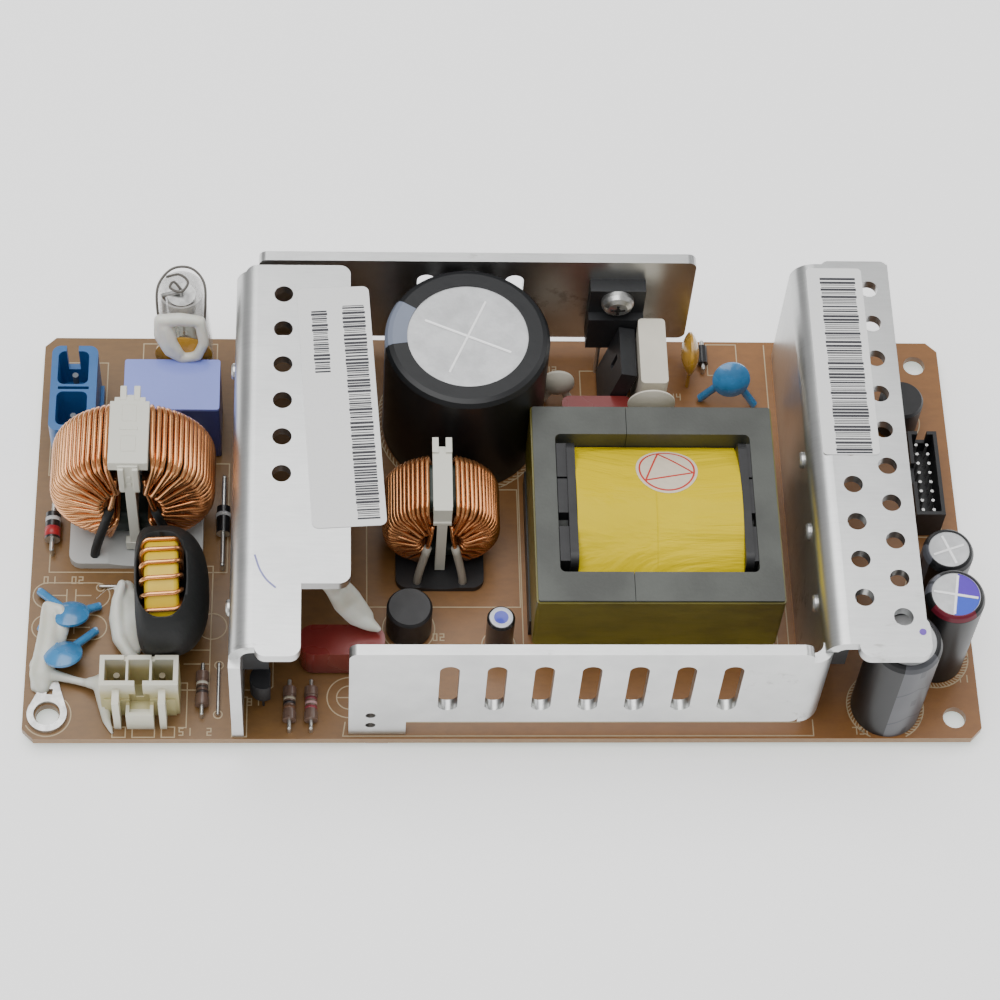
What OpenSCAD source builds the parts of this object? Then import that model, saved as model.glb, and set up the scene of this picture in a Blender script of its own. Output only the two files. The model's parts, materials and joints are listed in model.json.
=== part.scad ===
// Open frame power supply: a phenolic board with two folded heatsinks, input filter,
// bulk capacitor, transformer and low-voltage output parts. Millimetres, +Z up.
// Origin: centre of the outline, at the level of the heatsink feet.

/* [Board] */
// Width of the circuit board, left to right
board_w = 170; // [170:0.5:206]
// Depth of the circuit board, front to back
board_d = 84.5; // [84:0.5:104]
// Thickness of the circuit board
board_t = 1.6; // [1.2:0.1:2]
// Chamfer on each corner of the board
board_chamfer = 2; // [0.5:0.1:3.5]
// Diameter of the screw holes in the board
screw_hole_d = 4.1; // [3.2:0.1:4.4]
// How far the heatsink feet reach below the board
foot_drop = 2; // [1.8:0.1:3]

/* [Heatsinks] */
// Thickness of the folded sheet
sheet_t = 2; // [1.6:0.1:2.2]
// Outer radius of the folds
fold_r = 4; // [3:0.1:4.5]
// Height of the heatsinks above the board
sheet_rise = 29.9; // [29.5:0.1:36]
// Left wall, distance of its outer face from the left edge of the board
left_wall_in = 36.8; // [36.5:0.1:37]
// Right wall, distance of its left face from the right edge of the board
right_wall_in = 32; // [31.8:0.1:32.2]
// Width of the left flange
left_flange_w = 20.6; // [18:0.1:20.8]
// Width of the right flange
right_flange_w = 17.5; // [17.3:0.1:18]
// Diameter of the holes in the flanges
flange_hole_d = 3.4; // [2.6:0.1:4]
// Spacing of the holes in the flanges
flange_hole_pitch = 7.55; // [6.4:0.05:7.8]
// Width of the slots in the upright plates
slot_w = 3.4; // [2.6:0.1:4.4]
// Spacing of the slots in the upright plates
slot_pitch = 8.09; // [7:0.01:8.3]

/* [Bulk capacitor] */
// Diameter of the bulk capacitor over its sleeve
bulk_d = 29.8; // [26:0.1:29.9]
// Height of the bulk capacitor
bulk_h = 28.9; // [26:0.1:36]

/* [Line choke] */
// Radius of the winding's outer turns, to the middle of the wire
line_r = 14.15; // [13:0.05:14.3]
// Turns in each half of the line choke
line_turns = 33; // [16:1:34]
// Diameter of the line choke's wire
line_wire = 0.95; // [0.7:0.01:0.96]

/* [Second choke] */
// Radius of the winding's outer turns, to the middle of the wire
second_r = 10.15; // [9:0.05:10.3]
// Turns in each half of the second choke
second_turns = 27; // [12:1:28]
// Diameter of the second choke's wire
second_wire = 0.78; // [0.5:0.01:0.8]

/* [Transformer] */
// Width of the transformer core
core_w = 43.1; // [40:0.1:44]
// Depth of the transformer core
core_d = 40; // [38:0.1:40.2]
// Height of the transformer core
core_h = 15.4; // [13:0.1:18]

/* [Output capacitors] */
// Diameter of the large output capacitor
large_d = 12.4; // [10.4:0.1:12.4]
// Diameter of the middle output capacitor
middle_d = 10.6; // [9:0.1:10.8]
// Diameter of the small output capacitor
small_d = 9.2; // [7.8:0.1:9.4]

/* [Hidden] */

$fn = 48;
z_top = foot_drop + board_t;
z_sheet = z_top + sheet_rise;
lead_tip = 0.6;
left = -board_w / 2;
right = board_w / 2;
front = -board_d / 2;
back = board_d / 2;
lwx = left + left_wall_in;
rwx = right - right_wall_in;

// Places of the parts on the board, measured from its edges or from its middle
bulk_at = [-6.6, 23.9];
line_at = [left + 18.8, 3];
second_at = [-11.3, -2.1];
filter_at = [left + 24.7, front + 22.6];
core_at = [26.6, -5.7];
x_at = [left + 25.1, back - 21];
blue_at = [left + 6.9, back - 19];
fuse_at = [left + 26.7, back - 6.4];
inlet_at = [left + 20.8, front + 7.9];
lug_at = [left + 4.3, front + 4.7];
header_at = [right - 6.4, 8.5];
small_at = [right - 5.7, -12.2];
middle_at = [right - 7.3, front + 16.4];
large_at = [right - 17, front + 6.5];
round_front_at = [-17, front + 22];
round_rear_at = [right - 9.6, back - 18];
tiny_at = [-0.9, front + 18.7];
rectifier_at = [20.4, 29.3];
cement_at = [27.9, 27.5];
varistor_at = [[36.3, 34.6], [left + 27, back - 13.7]];
rear_device_x = 21.5;
left_device_y = [-28.6, 19.8];
right_device_y = [-27.5, -13.2, 1.6];
device_screw_z = z_sheet - 7;
rear_screw_z = z_sheet - 8.2;
back_plate_y = back - 0.85;
back_plate_end = 35.6;
front_plate_y = front + 0.85;
front_plate_end = -27.8;

// Lead positions: [x, y, lead diameter]
function row(at, dx, dy, d) = [for (i = [0:len(dx) - 1]) [at.x + dx[i], at.y + dy[i], d]];
bulk_leads = row(bulk_at, [-5, 5], [0, 0], 1.6);
line_leads = row(line_at, [-7.2, 7.2, -3, 3], [-8.9, -8.9, 8.9, 8.9], line_wire + 0.15);
second_leads = row(second_at, [-4, 4, -2.8, 2.8], [-8.4, -8.4, 7.8, 7.8], second_wire + 0.15);
filter_turned = 2;
filter_leads = row(filter_at, [3 * sin(filter_turned), -3 * sin(filter_turned)],
    [-3 * cos(filter_turned), 3 * cos(filter_turned)], 0.9);
pin_y = [-12.5, -7.5, -2.5, 2.5, 7.5, 12.5];
pin_x = core_w / 2 - 1.4;
pin_leads = concat(row(core_at, [for (y = pin_y) -pin_x], pin_y, 0.9),
    row(core_at, [for (y = pin_y) pin_x], pin_y, 0.9));
x_leads = row(x_at, [-7.5, 7.5], [0, 0], 0.8);
blue_leads = row(blue_at, [0, 0], [-4.4, 4.4], 1.1);
fuse_leads = row(fuse_at, [0, -3.3], [0, 0], 0.8);
y_middle_leads = [[left + 1.9, front + 29, 0.7], [left + 12.6, front + 26, 0.7]];
y_front_leads = [[left + 2.4, front + 21.6, 0.7], [left + 12.2, front + 21, 0.7]];
y_rear_leads = [[38.6, 28.9, 0.7], [48.6, 27.6, 0.7]];
inlet_leads = row(inlet_at, [-3.96, 3.96], [0, 0], 1.1);
film_front_leads = [[-34, front + 15.8, 0.7], [-24, front + 15.8, 0.7]];
film_rear_leads = [[13.1, 22.1, 0.7], [23.1, 22.1, 0.7]];
round_leads = concat(row(round_front_at, [-2.5, 2.5], [0, 0], 0.7),
    row(round_rear_at, [0, 0], [-2.5, 2.5], 0.7));
tiny_leads = row(tiny_at, [-1, 1], [0, 0], 0.6);
can_leads = concat(row(small_at, [0, 0], [-1.8, 1.8], 0.7),
    row(middle_at, [0, 0], [-2.5, 2.5], 0.7), row(large_at, [-2.5, 2.5], [0, 0], 0.8));
rectifier_leads = row(rectifier_at, [0, 0, 0], [-3.8, 0, 3.8], 0.9);
cement_leads = row(cement_at, [0, 0], [-5, 5], 0.8);
varistor_leads = concat(row(varistor_at[0], [0, 0], [-2.5, 2.5], 0.7),
    row(varistor_at[1], [-3.75, 3.75], [0, 0], 0.7));
cream_at = [[11.15, 28.5], [27.4, 18.3]];
cream_leads = concat(row(cream_at[0], [-2.5, 2.5], [0, 0], 0.6),
    row(cream_at[1], [-2.5, 2.5], [0, 0], 0.6));
device_pitch = 2.54;
rear_leads = [for (k = [-1:1]) [rear_device_x + k * device_pitch, back_plate_y - sheet_t - 4, 0.8]];
wall_leads = concat(
    [for (y = left_device_y, k = [-1:1]) [lwx + 4.2, y + k * device_pitch, 0.8]],
    [for (y = right_device_y, k = [-1:1]) [rwx + 4.2, y + k * device_pitch, 0.8]]);
tr_leads = [for (k = [-1:1]) [left + 42.2, front + 8.2 + k * 1.5, 0.5]];
resistor_ends = [[[left + 31.4, front + 4.3], [left + 31.4, front + 14]],
    [[left + 46.8, front + 1.5], [left + 46.8, front + 10.7]],
    [[left + 50.6, front + 1.5], [left + 50.6, front + 10.7]]];
diode_ends = [[[left + 3.6, -5], [left + 3.6, 4.4]], [[left + 34.4, -8], [left + 34.4, 10.4]],
    [[39.5, 35.2], [39.5, 41.2]]];
jumper_ends = [[[left + 34.2, front + 4.8], [left + 34.2, front + 14.6]],
    [[left + 12.6, front + 30.4], [left + 18.6, front + 30.4]]];
function ends_to_leads(e, d) = [for (p = e, q = p) [q.x, q.y, d]];
axial_leads = concat(ends_to_leads(resistor_ends, 0.7), ends_to_leads(diode_ends, 0.8),
    ends_to_leads(jumper_ends, 0.6));
header_pitch = 2;
header_leads = [for (i = [0:7], j = [-0.5, 0.5])
    [header_at.x + j * header_pitch, header_at.y + (i - 3.5) * header_pitch, 0.6]];
LEADS = concat(bulk_leads, line_leads, second_leads, filter_leads, pin_leads, x_leads, blue_leads,
    fuse_leads, y_middle_leads, y_front_leads, y_rear_leads, inlet_leads, film_front_leads,
    film_rear_leads, round_leads, tiny_leads, can_leads, rectifier_leads, cement_leads,
    varistor_leads, cream_leads, rear_leads, wall_leads, tr_leads, axial_leads, header_leads);

// Feet of the heatsinks through the board: [x, y, size along x, size along y]
foot_w = 4;
left_feet = [[lwx, front + 11, sheet_t, foot_w], [lwx, back - 18, sheet_t, foot_w]];
right_feet = [[rwx, front + 12, sheet_t, foot_w], [rwx, back - 11, sheet_t, foot_w],
    [front_plate_end + 3, front_plate_y, foot_w, sheet_t]];

// ---------- general shapes ----------
module rounded(w, d, r) {
    translate([r, 0]) square([w - 2 * r, d]);
    translate([0, r]) square([w, d - 2 * r]);
    for (x = [r, w - r], y = [r, d - r]) translate([x, y]) circle(r);
}

module slot(w, h) {
    translate([-w / 2, w / 2]) square([w, h - w]);
    for (y = [w / 2, h - w / 2]) translate([0, y]) circle(d = w);
}

module rod(a, b, d) {
    v = b - a;
    translate(a) rotate([0, acos(v.z / norm(v)), atan2(v.y, v.x)]) cylinder(h = norm(v), d = d, $fn = 24);
}

module wire(points, d) {
    for (i = [0:len(points) - 2]) rod(points[i], points[i + 1], d);
    for (i = [1:len(points) - 2]) translate(points[i]) sphere(d = d * 1.06, $fn = 24);
}

module leads(list, z) {
    for (p = list) translate([p.x, p.y, lead_tip]) cylinder(h = z - lead_tip, d = p[2], $fn = 24);
}

// ---------- board ----------
module circuit_board() {
    c = board_chamfer;
    color("peru") translate([0, 0, foot_drop]) difference() {
        linear_extrude(board_t) polygon([[left + c, front], [right - c, front], [right, front + c],
            [right, back - c], [right - c, back], [left + c, back], [left, back - c], [left, front + c]]);
        for (p = [lug_at, [right - 4.7, front + 4.1], [right - 4.7, back - 5.2]])
            translate([p.x, p.y, -1]) cylinder(h = board_t + 2, d = screw_hole_d);
        for (p = LEADS) translate([p.x, p.y, -1]) cylinder(h = board_t + 2, d = p[2], $fn = 24);
        for (f = concat(left_feet, right_feet))
            translate([f.x, f.y, -1]) cube([f[2], f[3], board_t + 2]);
    }
}

module solder_joints() {
    fillet_h = 1.1;
    color("silver") for (p = LEADS) translate([p.x, p.y, foot_drop])
        rotate_extrude($fn = 24) polygon([[p[2] / 2, 0], [p[2] / 2 + 0.65, 0],
            [p[2] / 2 + 0.15, -fillet_h], [p[2] / 2, -fillet_h]]);
}

// ---------- heatsinks ----------
// Outline of a folded sheet seen along the fold: wall from the origin upward, flange to the right
module fold_profile(rise, flange) {
    difference() {
        union() {
            square([sheet_t, rise - fold_r]);
            translate([fold_r, rise - sheet_t]) square([flange - fold_r, sheet_t]);
            translate([fold_r, rise - fold_r]) intersection() {
                circle(fold_r);
                translate([-fold_r, 0]) square(fold_r);
            }
        }
        translate([fold_r, rise - fold_r]) circle(fold_r - sheet_t);
    }
}

module corner_fold(h) {
    linear_extrude(h) difference() {
        intersection() {
            circle(fold_r);
            translate([-fold_r, 0]) square(fold_r);
        }
        circle(fold_r - sheet_t);
    }
}

module upright_plate(x0, x1, z0, z1, y, slots) {
    translate([0, y, 0]) rotate([90, 0, 0]) linear_extrude(sheet_t) difference() {
        translate([x0, z0]) rounded(x1 - x0, z1 - z0, 1.6);
        for (x = slots) translate([x, z_sheet - 20.4]) slot(slot_w, 16.1);
    }
}

flange_back = back - 3.9;
tongue_w = 12.2;
module left_heatsink() {
    hole_x = lwx + 8.6;
    plate_z = z_top + 5.6;
    fold_top = z_sheet - 7;
    fold_y = back_plate_y - fold_r;
    color("gainsboro") difference() {
        union() {
            difference() {
                intersection() {
                    translate([lwx, flange_back, z_top]) rotate([90, 0, 0])
                        linear_extrude(flange_back - front - 2.3) fold_profile(sheet_rise, left_flange_w);
                    translate([0, 0, -1]) linear_extrude(z_sheet + 2) {
                        translate([lwx, front + 2.3]) square([fold_r + 0.5, flange_back - front - 3.3]);
                        translate([lwx + 1.5, front + 14.6])
                            rounded(left_flange_w - 1.5, flange_back - front - 14.6, 2);
                        translate([lwx + fold_r, front + 4]) square([tongue_w - fold_r, 12]);
                    }
                }
                translate([lwx - 1, fold_y, z_top - 1]) cube([fold_r, 2, fold_top - z_top + 1]);
            }
            translate([lwx + fold_r + 0.4, front + 0.6, z_sheet - sheet_t])
                linear_extrude(sheet_t) rounded(tongue_w - fold_r - 0.4, 8, 2);
            translate([lwx, front + 0.4, z_top]) cube([sheet_t, 3, sheet_rise - fold_r]);
            translate([lwx + fold_r, fold_y, plate_z]) corner_fold(fold_top - plate_z);
            upright_plate(lwx + fold_r, back_plate_end, plate_z, z_sheet, back_plate_y,
                [for (k = [0:2]) -13.7 + k * slot_pitch]);
            for (f = left_feet) translate([f.x, f.y, 0]) cube([f[2], f[3], z_top + 1]);
        }
        for (k = [0:5]) translate([hole_x, back - 10.3 - k * flange_hole_pitch, z_sheet - sheet_t - 1])
            cylinder(h = sheet_t + 2, d = flange_hole_d);
        for (y = left_device_y) translate([lwx - 1, y, device_screw_z]) rotate([0, 90, 0])
            cylinder(h = sheet_t + 2, d = 3.2);
        translate([rear_device_x, back_plate_y + 1, rear_screw_z]) rotate([90, 0, 0])
            cylinder(h = sheet_t + 2, d = 3.2);
    }
}

module right_heatsink() {
    plate_z = z_top + 5;
    fold_top = z_sheet - 3;
    fold_y = front_plate_y + fold_r;
    fold_x = rwx + sheet_t - fold_r;
    rear_y = back - 2.8;
    color("gainsboro") difference() {
        union() {
            translate([rwx, rear_y, z_top]) rotate([90, 0, 0])
                linear_extrude(rear_y - fold_y) fold_profile(sheet_rise, right_flange_w);
            // flange ends: a short tab at the back and a rounded end at the front
            translate([rwx + 5.2, rear_y - 4, z_sheet - sheet_t]) linear_extrude(sheet_t)
                rounded(right_flange_w - 5.2, 4.7, 1.5);
            translate([rwx + 5.6, front + 0.5, z_sheet - sheet_t]) linear_extrude(sheet_t)
                rounded(right_flange_w - 5.1, 8, 2.2);
            intersection() {
                translate([rwx, fold_y + 1, z_top]) rotate([90, 0, 0])
                    linear_extrude(fold_y + 1 - front - 3) fold_profile(sheet_rise, 7);
                translate([rwx - 1, front, fold_top + 0.1]) cube([9, 8, fold_r]);
            }
            translate([fold_x, fold_y, plate_z]) rotate([0, 0, 180]) corner_fold(fold_top - plate_z);
            upright_plate(front_plate_end, fold_x, plate_z, z_sheet, front_plate_y + sheet_t,
                [for (k = [0:6]) -10.75 + k * slot_pitch]);
            translate([front_plate_end, front_plate_y, z_top]) cube([10, sheet_t, plate_z - z_top + 2]);
            for (f = right_feet) translate([f.x, f.y, 0]) cube([f[2], f[3], z_top + 1]);
        }
        for (z = [3.7, 7.4]) translate([front_plate_end + 3.8, front_plate_y - 1, z_top + z])
            rotate([-90, 0, 0]) cylinder(h = sheet_t + 2, d = 1.8);
        for (k = [0:9]) translate([rwx + 13.6, (k - 4.5) * flange_hole_pitch, z_sheet - sheet_t - 1])
            cylinder(h = sheet_t + 2, d = flange_hole_d);
        for (k = [0:8]) translate([rwx + 7.2, (k - 4) * flange_hole_pitch, z_sheet - sheet_t - 1])
            cylinder(h = sheet_t + 2, d = flange_hole_d);
        for (y = right_device_y) translate([rwx - 1, y, device_screw_z]) rotate([0, 90, 0])
            cylinder(h = sheet_t + 2, d = 3.2);
    }
}

// ---------- bulk capacitor ----------
sleeve_t = 0.3;
function shoulder(r, lip_r) = min(1.2, 0.75 * (r - lip_r));
// Rolled shoulder, then a flat end set a little below the rim
module can_profile(r, h, lip_r) {
    s = shoulder(r, lip_r);
    polygon([[0, 0], [r, 0], [r, h - 1.4], [r - 0.4 * s, h - 0.6], [r - s, h - 0.3], [0, h - 0.3]]);
}

module sleeve_profile(r, h, lip_r) {
    s = shoulder(r, lip_r);
    polygon([[r, 0], [r + sleeve_t, 0], [r + sleeve_t, h - 1.2], [r - 0.2 * s, h - 0.35], [r - 0.9 * s, h],
        [lip_r, h], [lip_r, h - 0.3], [r - s, h - 0.3], [r - 0.4 * s, h - 0.6], [r, h - 1.4]]);
}

module can_at(at, d, h, lip_d, leads_list, score) {
    r = d / 2 - sleeve_t;
    color("silver") difference() {
        union() {
            translate([at.x, at.y, z_top]) rotate_extrude($fn = 96) can_profile(r, h, lip_d / 2);
            leads(leads_list, z_top + 0.5);
        }
        translate([at.x, at.y, z_top + h - 0.3]) rotate([0, 0, 45]) for (a = [0, 90]) rotate([0, 0, a])
            cube([score, 0.5, 0.4], center = true);
    }
}

module sleeve_at(at, d, h, lip_d, tint) {
    color(tint) translate([at.x, at.y, z_top]) rotate_extrude($fn = 96)
        sleeve_profile(d / 2 - sleeve_t, h, lip_d / 2);
}

bulk_lip = bulk_d - 8;
module bulk_capacitor_can() { can_at(bulk_at, bulk_d, bulk_h, bulk_lip, bulk_leads, bulk_lip - 1.5); }
module bulk_capacitor_sleeve() { sleeve_at(bulk_at, bulk_d, bulk_h, bulk_lip, "#222428"); }

small_h = 15.4;
middle_h = 23.4;
large_h = 25;
small_lip = small_d - 1.9;
middle_lip = middle_d - 2;
large_lip = large_d - 2.4;
module output_capacitor_small_can() {
    can_at(small_at, small_d, small_h, small_lip, [can_leads[0], can_leads[1]], small_lip - 0.8);
}
module output_capacitor_small_sleeve() { sleeve_at(small_at, small_d, small_h, small_lip, "#222428"); }
module output_capacitor_middle_can() {
    can_at(middle_at, middle_d, middle_h, middle_lip, [can_leads[2], can_leads[3]], middle_lip - 0.8);
}
module output_capacitor_middle_sleeve() { sleeve_at(middle_at, middle_d, middle_h, middle_lip, "#222428"); }
module output_capacitor_large_can() {
    can_at(large_at, large_d, large_h, large_lip, [can_leads[4], can_leads[5]], large_lip - 0.8);
}
module output_capacitor_large_sleeve() { sleeve_at(large_at, large_d, large_h, large_lip, "#222428"); }

module small_capacitor() {
    color("royalblue") {
        translate([tiny_at.x, tiny_at.y, z_top]) rotate_extrude()
            polygon([[0, 0], [2.5, 0], [2.5, 9.9], [2.2, 10.4], [1.7, 10.5], [0, 10.4]]);
        leads(tiny_leads, z_top + 0.5);
    }
}

// ---------- ring chokes ----------
// One half of a two-layer winding on a ring whose axis lies along Y. The wire comes up from the
// board, winds round the ring section from the bottom to the top, and goes down again.
// The turns lie in three layers inside the ring, so that they fit through the hole.
stations = 8;
function turn_points(ro, ri, a, w, layer) = let (s = (2 - layer) * w, f = layer * w,
    bend = 1.15 * w) [
    [ro, -a + bend], [ro, a - bend], [ro - bend, a], [ri + s + 1.1, a + f],
    [ri + s, a + f - 1.1], [ri + s, -a - f + 1.1], [ri + s + 1.1, -a - f], [ro - bend, -a]];
function on_ring(p, phi) = [p[0] * sin(phi), p[1], -p[0] * cos(phi)];
function half_path(ro, ri, a, w, turns, phi0, phi1) = [for (i = [0:turns * stations])
    let (phi = phi0 + (phi1 - phi0) * i / (turns * stations),
        p = turn_points(ro, ri, a, w, floor(i / stations) % 3)[i % stations])
    on_ring(p, phi)];
// Rings of the swept wire: centre, then two directions across the wire
function sweep_ring(p, t, u, r, sides) = let (n = cross(t, u) / norm(cross(t, u)), m = cross(n, t) / norm(t))
    [for (k = [0:sides - 1]) p + r * (cos(360 * k / sides) * n + sin(360 * k / sides) * m)];
function tangent(path, i) = path[min(i + 1, len(path) - 1)] - path[max(i - 1, 0)];
module sweep(path, side_dir, r, sides) {
    rings = [for (i = [0:len(path) - 1]) sweep_ring(path[i], tangent(path, i), side_dir[i], r, sides)];
    last = len(path) - 1;
    polyhedron(points = [for (q = rings, p = q) p], faces = concat(
        [[for (k = [0:sides - 1]) k]],
        [for (i = [0:last - 1], k = [0:sides - 1])
            let (a = i * sides, b = (i + 1) * sides, n = (k + 1) % sides)
            [a + k, b + k, b + n, a + n]],
        [[for (k = [sides - 1:-1:0]) last * sides + k]]));
}

module half_winding(ro, ri, a, w, turns, phi, rear_lead, front_lead, z_c, sides) {
    whole = half_path(ro, ri, a, w, turns, phi[0], phi[1]);
    end = (turns - 1) * stations + 5;
    body = [for (i = [1:end]) whole[i]];
    along = [for (i = [1:end]) let (f = phi[0] + (phi[1] - phi[0]) * i / (turns * stations))
        [cos(f), 0, sin(f)]];
    base = z_top - z_c;
    first = [[rear_lead.x, rear_lead.y, lead_tip - z_c], [rear_lead.x, rear_lead.y, base + 2]];
    last = [[0.4 * ri, front_lead.y, ri / 2], [front_lead.x, front_lead.y, base + 2.5],
        [front_lead.x, front_lead.y, lead_tip - z_c]];
    sweep(concat(first, body, last), concat([[1, 0, 0], [1, 0, 0]], along,
        [[-1, 0, 0], [-1, 0, 0], [-1, 0, 0]]), w / 2, sides);
}

module ring_core(r_in, r_out, half, edge) {
    rotate([90, 0, 0]) rotate_extrude($fn = 96)
        translate([r_in, -half]) rounded(r_out - r_in, 2 * half, edge);
}

module both_halves() {
    children();
    mirror([1, 0, 0]) children();
}

// Plastic divider that holds the two halves apart: saddle over the ring, cheeks and a stem
// reach is how far the ribbed cheeks hang down into the hole of the ring
module divider(width, cheek, reach, half, depth, r_out, r_in, r_top, foot_z) {
    difference() {
        union() {
            translate([-width / 2, -depth, r_out - 1]) cube([width, 2 * depth, r_top - r_out + 1]);
            for (y = [-depth - 0.7, depth - 1]) translate([-cheek / 2, y, r_in - reach])
                cube([cheek, 1.7, r_top - r_in + reach]);
            for (y = [-depth - 0.7, depth - 0.5]) translate([-0.9, y, foot_z])
                cube([1.8, 1.2, r_in - foot_z]);
            translate([-0.6, -depth, -r_in + 0.8]) cube([1.2, 2 * depth, 2 * r_in - 1.6]);
            // ribs down the front, and the fork at the back
            for (z = [r_in - reach + 0.6:1.8:r_in + 2]) translate([-cheek / 2, -depth - 1, z])
                cube([cheek, 0.5, 0.7]);
            for (x = [-1.75, 0.65]) translate([x, depth - 0.7, r_top - 1.4]) cube([1.1, 3.1, 1.8]);
        }
        rotate([90, 0, 0]) translate([0, 0, -half]) difference() {
            cylinder(h = 2 * half, r = r_out, $fn = 96);
            translate([0, 0, -1]) cylinder(h = 2 * half + 2, r = r_in, $fn = 96);
        }
    }
}

module choke_base(at, w, d, y_off, h, r, z_c, lead_list) {
    difference() {
        translate([at.x - w / 2, at.y - d / 2 + y_off, z_top]) linear_extrude(h) rounded(w, d, 2.2);
        translate([at.x, at.y + 30, z_c]) rotate([90, 0, 0]) cylinder(h = 60, r = r, $fn = 96);
        for (p = lead_list) translate([p.x, p.y, z_top - 1]) cylinder(h = h + 2, d = p[2], $fn = 24);
    }
}

line_z = z_top + line_r + 1.4;
line_in = 5.35;
line_half = 5.1;
line_a = line_half + line_wire / 2 + 0.05;
line_core_in = line_in + 2.5 * line_wire + 0.1;
line_core_out = line_r - line_wire / 2 - 0.05;
module line_choke_core() {
    color("#2e6b4f") translate([line_at.x, line_at.y, line_z])
        ring_core(line_core_in, line_core_out, line_half, 2);
}
module line_choke_windings() {
    color("#b8713a") translate([line_at.x, line_at.y, line_z]) both_halves()
        half_winding(line_r, line_in, line_a, line_wire, line_turns, [25, 160],
            [3, 8.9], [7.2, -8.9], line_z, 5);
}
module line_choke_separator() {
    color("ivory") translate([line_at.x, line_at.y, line_z])
        divider(7.8, 3.7, 2.1, line_half, 7.1, line_core_out, line_core_in,
            line_r + 1.1, -line_r);
}
module line_choke_base() {
    color("ivory") choke_base(line_at, 24, 21, -0.4, 1.8, line_r + line_wire / 2, line_z, line_leads);
}

second_z = z_top + second_r + 1.1;
second_in = 3.75;
second_half = 4.4;
second_a = second_half + second_wire / 2 + 0.05;
second_core_in = second_in + 2.5 * second_wire + 0.1;
second_core_out = second_r - second_wire / 2 - 0.05;
module second_choke_core() {
    color("#2e6b4f") translate([second_at.x, second_at.y, second_z])
        ring_core(second_core_in, second_core_out, second_half, 1.6);
}
module second_choke_windings() {
    color("#b8713a") translate([second_at.x, second_at.y, second_z]) both_halves()
        half_winding(second_r, second_in, second_a, second_wire, second_turns, [31, 162],
            [2.8, 7.8], [4, -8.4], second_z, 5);
}
module second_choke_separator() {
    color("ivory") translate([second_at.x, second_at.y, second_z])
        divider(3.4, 3.2, 0, second_half, 5.9, second_core_out, second_core_in, second_r + 0.9, -second_r);
}
module second_choke_base() {
    color("#222222") choke_base(second_at, 16, 19, -0.9, 1.3,
        second_r + second_wire / 2, second_z, second_leads);
}

// ---------- filter choke in its heat-shrink sleeve (ring axis along X) ----------
filter_r = 10.5;
filter_half = 3;
filter_wire = 0.8;
filter_turns = 20;
filter_z = z_top + 12.6;
function filter_points(ro, ri, a) = [[ro, -a + 0.8], [ro, a - 0.8], [ro - 0.8, a], [ri + 0.8, a],
    [ri, a - 0.8], [ri, -a + 0.8], [ri + 0.8, -a], [ro - 0.8, -a]];
module at_filter() {
    translate([filter_at.x, filter_at.y, filter_z]) rotate([0, 0, filter_turned]) children();
}
module filter_choke_core() {
    color("gold") at_filter() rotate([0, 0, 90])
        ring_core(6, filter_r - filter_wire / 2 - 0.05, filter_half, 1);
}
module filter_choke_winding() {
    total = filter_turns * stations;
    span = [24, 336];
    phi = [for (i = [0:total]) span[0] + (span[1] - span[0]) * i / total];
    body = [for (i = [0:total])
        on_ring(filter_points(filter_r, 5.5, filter_half + 0.5)[i % stations], phi[i])];
    along = [for (f = phi) [cos(f), 0, sin(f)]];
    tip = lead_tip - filter_z;
    color("#b8713a") at_filter() rotate([0, 0, 90])
        sweep(concat([[3, 0, tip], [3, 0, tip + 5.2]], body, [[-3, 0, tip + 5.2], [-3, 0, tip]]),
            concat([[1, 0, 0], [1, 0, 0]], along, [[1, 0, 0], [1, 0, 0]]), filter_wire / 2, 5);
}
// Thick disc with rounded edges whose axis lies along X
module pill(r, half, edge) {
    rotate([0, 90, 0]) rotate_extrude($fn = 36) intersection() {
        translate([-r, -half]) rounded(2 * r, 2 * half, edge, $fn = 16);
        translate([0, -half]) square([r, 2 * half]);
    }
}
module filter_choke_sleeve() {
    color("#1c1c1e") at_filter() difference() {
        hull() {
            for (z = [-0.8, 0.6]) translate([0, 0, z]) pill(11.4, 4.7, 2);
            translate([2.2, 0, -2.5]) pill(9, 6, 3);
        }
        rotate([0, 90, 0]) translate([0, 0, -4.1]) cylinder(h = 8.2, r = filter_r + 0.45, $fn = 64);
        // open end of the sleeve, on top
        rotate([2, 0, 0]) translate([0, 0, 4]) linear_extrude(12) {
            translate([-4.1, -3.5]) square([8.2, 7]);
            for (y = [-3.5, 3.5]) translate([0, y]) circle(4.1);
        }
        for (y = [-3, 3]) translate([0, y, -16]) cylinder(h = 8, d = 1, $fn = 24);
    }
}

// ---------- transformer ----------
core_lift = 5;
core_z = z_top + core_lift;
yoke_w = 4;
beam_w = 5.8;
leg_r = 5.6;
joint_x = -4.6;
winding_x = [-14.2, 15.2];
module at_core() { translate([core_at.x, core_at.y, core_z]) children(); }
module transformer_core() {
    wx = core_w / 2;
    wy = core_d / 2;
    color("#4a4d4a") at_core() difference() {
        union() {
            difference() {
                translate([-wx, -wy, 0]) linear_extrude(core_h) rounded(core_w, core_d, 0.4);
                translate([-wx + yoke_w, -wy + beam_w, -1]) linear_extrude(core_h + 2)
                    rounded(core_w - 2 * yoke_w, core_d - 2 * beam_w, 1);
            }
            translate([-wx + 1, 0, core_h / 2]) rotate([0, 90, 0]) cylinder(h = core_w - 2, r = leg_r);
        }
        // the two halves meet at a fine joint
        translate([joint_x - 0.05, -wy - 1, -1]) cube([0.1, core_d + 2, core_h + 2]);
    }
}

module winding_section(grow) {
    reach = core_d / 2 - beam_w - 0.2 + grow;
    top_r = 20 + grow;
    rise = core_h / 2 + 1.5;
    intersection() {
        translate([-reach, -core_h / 2 - 3]) square([2 * reach, core_h + 6]);
        translate([0, rise - 20]) circle(top_r, $fn = 96);
        translate([0, 20 - core_h / 2 - 0.2]) circle(top_r, $fn = 96);
    }
}

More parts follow.
